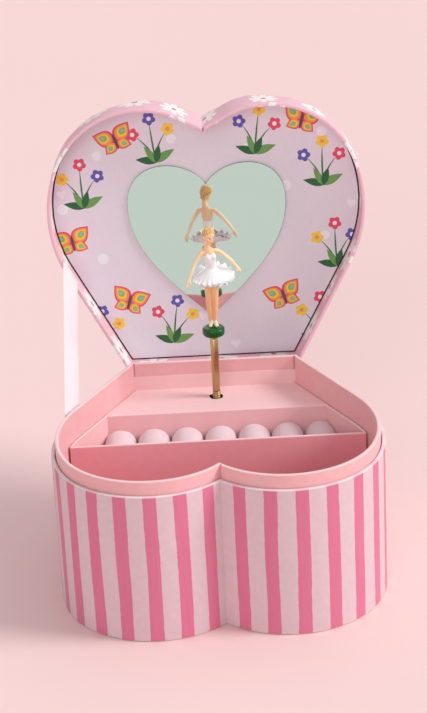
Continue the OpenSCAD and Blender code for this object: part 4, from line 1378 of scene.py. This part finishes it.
def frill_pattern():
    """One gathered layer of the skirt, from its waist to a waved rim. Reach is its half width and half
    depth about Middle, Edge its height in front, at the sides and behind, and Crisp how near the rim
    the folds begin."""
    g = Pattern("frill", Waist=2.7, Height=32.0, Reach=(9.0, 6.5, 0.0), Middle=(0.0, -1.0, 0.0),
                Edge=(25.0, 26.0, 28.0), Waves=19, Depth=0.45, Phase=0.0, Sag=1.0, Crisp=7.0,
                Thickness=0.2, Foot=(0.0, 0.0, 0.0))
    given = g.given
    across = g.math("MULTIPLY_ADD", given["Waves"], 12.0, 1.0)
    flat = g.add("GeometryNodeMeshGrid", {
        "Size X": 1.0, "Size Y": 1.0, "Vertices X": across, "Vertices Y": 19})
    where = g.vmath("ADD", g.add("GeometryNodeInputPosition").outputs[0], (0.5, 0.5, 0.0))
    u, t, _ = g.split(where)
    t = g.math("MAXIMUM", t, 0.0)
    a = g.math("MULTIPLY", u, 2 * math.pi)
    swing = a
    for beats, depth, share in ((3.0, 0.07, 1.0), (5.0, 0.05, 2.0)):
        angle = g.math("MULTIPLY_ADD", a, beats, g.math("MULTIPLY", given["Phase"], share))
        swing = g.math("MULTIPLY_ADD", g.math("SINE", angle), depth, swing)
    wave = g.math("COSINE", g.math("MULTIPLY_ADD", swing, given["Waves"], given["Phase"]))
    fold = g.math("MULTIPLY", wave, g.math("POWER", t, given["Crisp"]))
    front, side, back = g.split(given["Edge"])
    sine = g.math("SINE", a)
    rise = g.math("MULTIPLY", g.math("SUBTRACT", back, front), 0.5)
    bow = g.math("SUBTRACT", g.math("MULTIPLY", g.math("ADD", back, front), 0.5), side)
    rim = g.math("MULTIPLY_ADD", g.math("MULTIPLY_ADD", sine, bow, rise), sine, side)
    left = g.math("POWER", g.math("MAXIMUM", g.math("SUBTRACT", 1.0, t), 0.0), given["Sag"])
    z = g.math("MULTIPLY_ADD", given["Depth"], fold, g.between(rim, given["Height"], left))
    spot = []
    for turn, reach, middle, hub in zip(("COSINE", "SINE"), g.split(given["Reach"]),
                                        g.split(given["Middle"]), (0.3, -0.5)):
        out = g.math("MULTIPLY_ADD", fold, 0.25, g.between(given["Waist"], reach, t))
        spot.append(g.math("MULTIPLY_ADD", out, g.math(turn, a), g.between(hub, middle, t)))
    place = g.vmath("ADD", g.join(*spot, z), given["Foot"])
    cloth = g.add("GeometryNodeSetPosition", {"Geometry": flat.outputs[0], "Position": place})
    sewn = g.add("GeometryNodeMergeByDistance", {"Geometry": cloth.outputs[0], "Distance": 0.001})
    thick = g.add("GeometryNodeExtrudeMesh", {"Mesh": sewn.outputs[0], "Offset Scale": given["Thickness"],
                                              "Individual": False})
    lining = g.add("GeometryNodeFlipFaces", {"Mesh": sewn.outputs[0]})
    both = g.add("GeometryNodeJoinGeometry")
    for part in (thick, lining):
        g.tree.links.new(part.outputs[0], both.inputs[0])
    shut = g.add("GeometryNodeMergeByDistance", {"Geometry": both.outputs[0], "Distance": 0.001})
    g.close(shut.outputs[0])
    return g


FRILLS = (dict(Waist=2.7, Height=32.4, Reach=(8.9, 6.6, 0), Middle=(-0.5, -1.3, 0),
               Edge=(25.5, 26.6, 28.0), Waves=19, Depth=0.6, Phase=0.3, Sag=1.05, Crisp=6.0),
          dict(Waist=2.9, Height=30.0, Reach=(10.4, 6.6, 0), Middle=(1.5, -0.8, 0),
               Edge=(25.3, 27.4, 32.3), Waves=18, Depth=0.95, Phase=1.9, Sag=1.6, Crisp=2.5),
          dict(Waist=3.0, Height=28.4, Reach=(10.2, 6.4, 0), Middle=(1.3, -0.8, 0),
               Edge=(25.0, 26.6, 30.8), Waves=17, Depth=0.8, Phase=4.0, Sag=1.4, Crisp=2.5),
          dict(Waist=3.1, Height=24.6, Reach=(9.4, 6.0, 0), Middle=(0.9, -0.8, 0),
               Edge=(24.7, 25.9, 28.8), Waves=18, Depth=0.45, Phase=5.1, Sag=1.15, Crisp=4.0))


def dancer_dress():
    verts, faces = bodice()
    dress_mesh = bmesh.new()
    fresh = [dress_mesh.verts.new((Vector(v) + FOOT) * MM) for v in verts]
    for face in faces:
        dress_mesh.faces.new([fresh[i] for i in face])
    pattern = frill_pattern()
    for sizes in FRILLS:
        layer = pattern.make("frill", DOLL_WHITE, Foot=tuple(FOOT), **sizes)
        dress_mesh.from_mesh(layer.data)
        bpy.data.objects.remove(layer)
    mesh = bpy.data.meshes.new("dancer_dress")
    dress_mesh.to_mesh(mesh)
    dress_mesh.free()
    face_outwards(mesh)
    dress(placed("dancer_dress", mesh), DOLL_WHITE, "figure", ["figure_tutu"])


def hair():
    """Hair combed up from the face into an upright roll at the back of the head."""
    steps, rows = 72, 26
    shells = []
    for grow in (0.0, -0.55):
        rings = []
        for j in range(rows + 1):
            ring = []
            for a in round_angles(steps):
                front = -math.sin(a)
                reach = 96 - 50 * max(0.0, front) ** 1.5 + 46 * max(0.0, -front) ** 1.2
                b = math.radians(2 + reach * j / rows)
                size = Vector((2.85 + grow, 3.2 + grow, 3.35 + grow))
                puff = 1 + 0.05 * math.sin(min(b, math.pi / 2)) * (1 if grow == 0 else 0)
                ring.append(in_head(size.x * puff * math.sin(b) * math.cos(a),
                                    0.35 + size.y * math.sin(b) * math.sin(a),
                                    0.85 + size.z * math.cos(b)))
            rings.append(ring)
        shells.append(rings)
    cap = loft(shells[0] + shells[1][::-1], cap=False, close_path=True)
    top = egg(in_head(0, 0.35, 3.6), (1.4, 1.4, 0.6), HEAD_POSE, 16)
    roll = egg(in_head(0.1, 2.4, 0.3), (1.7, 1.45, 3.8), HEAD_POSE, 24)
    tuft = egg(in_head(0.0, 0.7, 3.0), (2.6, 2.6, 1.25), HEAD_POSE, 20)
    turned_back = HEAD_POSE.transposed()

    def strands(p):
        q = turned_back @ (p - HEAD_AT)
        around = math.atan2(q.y - 1.2, q.x)
        fine = math.sin(26 * around + 1.5 * math.sin(1.3 * q.z))
        return 0.09 * fine + 0.05 * math.sin(15 * around + q.z * 1.1)
    moulded("dancer_hair", [cap, top, roll, tuft], HAIR, "figure_hair", 0.12, 2, strands)


def slippers():
    forms = []
    for x, turn, reach in ((-0.95, -0.35, 1.9), (1.05, 0.55, 2.1)):
        toe = Vector((x + turn * 2.3, -reach, 0.42))
        forms.append(limb(((x, 0.15, 4.4, 1.08, 1.08), (x, 0.1, 3.2, 1.1, 1.15),
                           (x + 0.3 * turn, -0.2, 2.0, 1.12, 1.25),
                           (x + 1.2 * turn, -1.0, 1.05, 0.98, 0.8),
                           (toe.x, toe.y, toe.z + 0.1, 0.62, 0.45)), 20))
        forms.append(egg(Vector((x - 0.1 * turn, 0.7, 1.2)), (0.85, 0.75, 1.15)))
        forms.append(egg(Vector((x, 0.55, 0.5)), (0.6, 0.6, 0.5)))
    moulded("dancer_slippers", forms, SLIPPER, "figure_slippers", 0.14)


def doll_skin():
    """Peach plastic, warmer where it is shaded, painted more orange low down and paler up the body and out
    along the arms as painted shade and light, with a painted face.
    """
    f = Finish("doll_skin", Subsurface_Weight=0.12, Coat_Weight=0.15, Coat_Roughness=0.2)
    f.bsdf.inputs["Subsurface Radius"].default_value = (0.0012, 0.0005, 0.0003)
    f.bsdf.inputs["Subsurface Scale"].default_value = 1.0
    where = f.place()
    # Painted shade and light: more orange low down under the skirt, paler up the body
    height = f.ramp(f.split(where)[2], FOOT.z * MM, (FOOT.z + 40) * MM)
    colour = f.mix(f.grain(where, 260, 3), tint(238, 176, 124), tint(244, 188, 138))
    colour = f.mix(height, colour, tint(249, 210, 164))
    # Painted light: paler out along the arms
    aside = f.math("ABSOLUTE", f.math("SUBTRACT", f.split(where)[0], HOLE_X * MM))
    colour = f.mix(f.ramp(aside, 4.5 * MM, 9 * MM), colour, tint(250, 228, 186))

    def blot(x, y, z, size, tone, base, strength=1.0):
        centre = (FOOT + in_head(x, y, z)) * MM
        gap = f.vmath("SUBTRACT", where, tuple(centre))
        axes = [HEAD_POSE @ Vector(e) for e in ((1, 0, 0), (0, 1, 0), (0, 0, 1))]
        total = None
        for axis, span in zip(axes, size):
            part = f.math("DIVIDE", f.vmath("DOT_PRODUCT", gap, tuple(axis)), span * MM)
            part = f.math("MULTIPLY", part, part)
            total = part if total is None else f.math("ADD", total, part)
        mask = f.ramp(total, 0.7, 1.25, strength, 0.0)
        return f.mix(mask, base, tone)
    for side in (-1, 1):
        colour = blot(side * 1.35, -2.3, -1.1, (0.75, 0.8, 0.6), tint(244, 150, 120), colour, 0.5)
        colour = blot(side * 0.88, -2.6, -0.02, (0.46, 0.7, 0.24), tint(248, 244, 238), colour)
        colour = blot(side * 0.84, -2.6, -0.02, (0.19, 0.7, 0.22), tint(70, 96, 130), colour)
        colour = blot(side * 0.9, -2.6, 0.2, (0.5, 0.7, 0.08), tint(70, 46, 36), colour)
        colour = blot(side * 0.92, -2.6, 0.62, (0.5, 0.7, 0.08), tint(150, 104, 62), colour)
    colour = blot(0, -2.8, -1.95, (0.48, 0.6, 0.24), tint(208, 82, 92), colour)
    f.paint(colour)
    f.rough(f.ramp(f.grain(where, 800, 2), 0.2, 0.8, 0.3, 0.42))
    f.bump(f.grain(where, 500, 2), 0.006)
    return f.mat


def doll_hair():
    """Yellow plastic, darker in the grooves between its strands."""
    f = Finish("doll_hair", Coat_Weight=0.15, Coat_Roughness=0.2)
    where = f.place()
    strand = f.add("ShaderNodeAttribute", attribute_name="strand").outputs["Fac"]
    base = f.mix(f.grain(where, 320, 3), tint(226, 178, 100), tint(244, 212, 146))
    f.paint(f.mix(f.ramp(strand, -0.09, 0.02, 0.85, 0.0), base, tint(146, 88, 34)))
    f.rough(f.ramp(f.grain(where, 800, 2), 0.2, 0.8, 0.3, 0.42))
    f.bump(f.grain(where, 500, 2), 0.01)
    return f.mat


SKIN = doll_skin()
DOLL_WHITE = plastic("doll_white", tint(234, 240, 242), tint(244, 248, 249), 0.2, 0.32,
                     coat=0.3, relief=0.008)
HAIR = doll_hair()
SLIPPER = plastic("slipper_cream", tint(232, 220, 182), tint(242, 232, 200), 0.3, 0.42)
dancer_body()
dancer_dress()
hair()
slippers()

SLOT_FINISH = {"striped_paper": STRIPED, "grey_card": CARD, "pink_paper": LINER, "lid_paper": LID_PAPER,
               "lining_paper": LINING, "mirror": MIRROR, "hinge_paper": LID_PAPER, "satin": SATIN,
               "velvet": VELVET, "brass": BRASS, "green_plastic": GREEN, "slipper_cream": SLIPPER,
               "doll_skin": SKIN, "doll_white": DOLL_WHITE, "doll_hair": HAIR, "steel": STEEL,
               "blue_steel": BLUE_STEEL}


def finish_cad_parts():
    """The kept CAD parts get the finish of their material slot."""
    slots = {row["node"]: row["material_slot"] for row in frame["record"]["subparts"]}
    for node, obj in frame["nodes"].items():
        for place in obj.material_slots:
            place.material = SLOT_FINISH[slots[node]]


finish_cad_parts()


# ---------------------------------------------------------------- room
FLOOR_PINK = tint(247, 217, 216)


def flat_board(name, corners, colour):
    mesh = bpy.data.meshes.new(name)
    mesh.from_pydata(corners, [], [(0, 1, 2, 3)])
    board = placed(name, mesh)
    f = Finish(name, Specular_IOR_Level=0.1)
    where = f.place()
    f.paint(f.mix(f.grain(where, 3, 2), colour, tuple(0.97 * c for c in colour[:3]) + (1,)))
    f.rough(f.ramp(f.grain(where, 200), 0, 1, 0.7, 0.85))
    mesh.materials.append(f.mat)
    return board


def aim_lamp(name, kind, spot, target=(0, 0.03, 0.09), **settings):
    lamp = bpy.data.lights.new(name, kind)
    for key, value in settings.items():
        setattr(lamp, key, value)
    obj = placed(name, lamp)
    look = Vector(target) - Vector(spot)
    obj.matrix_world = Matrix.Translation(spot) @ look.to_track_quat("-Z", "Y").to_matrix().to_4x4()
    return obj


def room():
    reach = 8.0
    low = -0.0003
    corners = ((-reach, -reach), (reach, -reach), (reach, reach), (-reach, reach))
    flat_board("floor", [(x, y, low) for x, y in corners], FLOOR_PINK)
    # A grey green card that shows only in reflections stands in for the far side of the studio
    card = flat_board("reflected_card", [(-0.9, -1.7, 0.002), (0.9, -1.7, 0.002), (0.9, -0.26, 0.002),
                                         (-0.9, -0.26, 0.002)], tint(196, 207, 199))
    card.visible_camera = card.visible_diffuse = card.visible_shadow = card.visible_transmission = False
    world = bpy.data.worlds.new("room")
    world.use_nodes = True
    net = Net(world.node_tree)
    light = net.tree.nodes["Background"]
    light.inputs["Color"].default_value = (1.0, 0.985, 0.985, 1)
    light.inputs["Strength"].default_value = 0.4
    # The camera and reflections see the floor's pink in place of the plain light
    seen = net.add("ShaderNodeBackground", {"Color": FLOOR_PINK})
    rays = net.add("ShaderNodeLightPath").outputs
    shown = net.math("MAXIMUM", rays["Is Camera Ray"], rays["Is Glossy Ray"])
    pick = net.add("ShaderNodeMixShader", {0: shown, 1: light.outputs[0], 2: seen.outputs[0]})
    net.put(net.tree.nodes["World Output"].inputs["Surface"], pick.outputs[0])
    scene.world = world
    aim_lamp("window", "SUN", (0.81, -0.12, 0.57), (0, 0, 0), energy=2.15, angle=math.radians(22))
    aim_lamp("front_light", "SUN", (-0.22, -0.91, 0.35), (0, 0, 0), energy=0.75, angle=math.radians(40))
    aim_lamp("ceiling", "SUN", (0.1, 0.3, 0.95), (0, 0, 0), energy=0.45, angle=math.radians(50))
    scene.view_settings.view_transform = "Standard"


room()
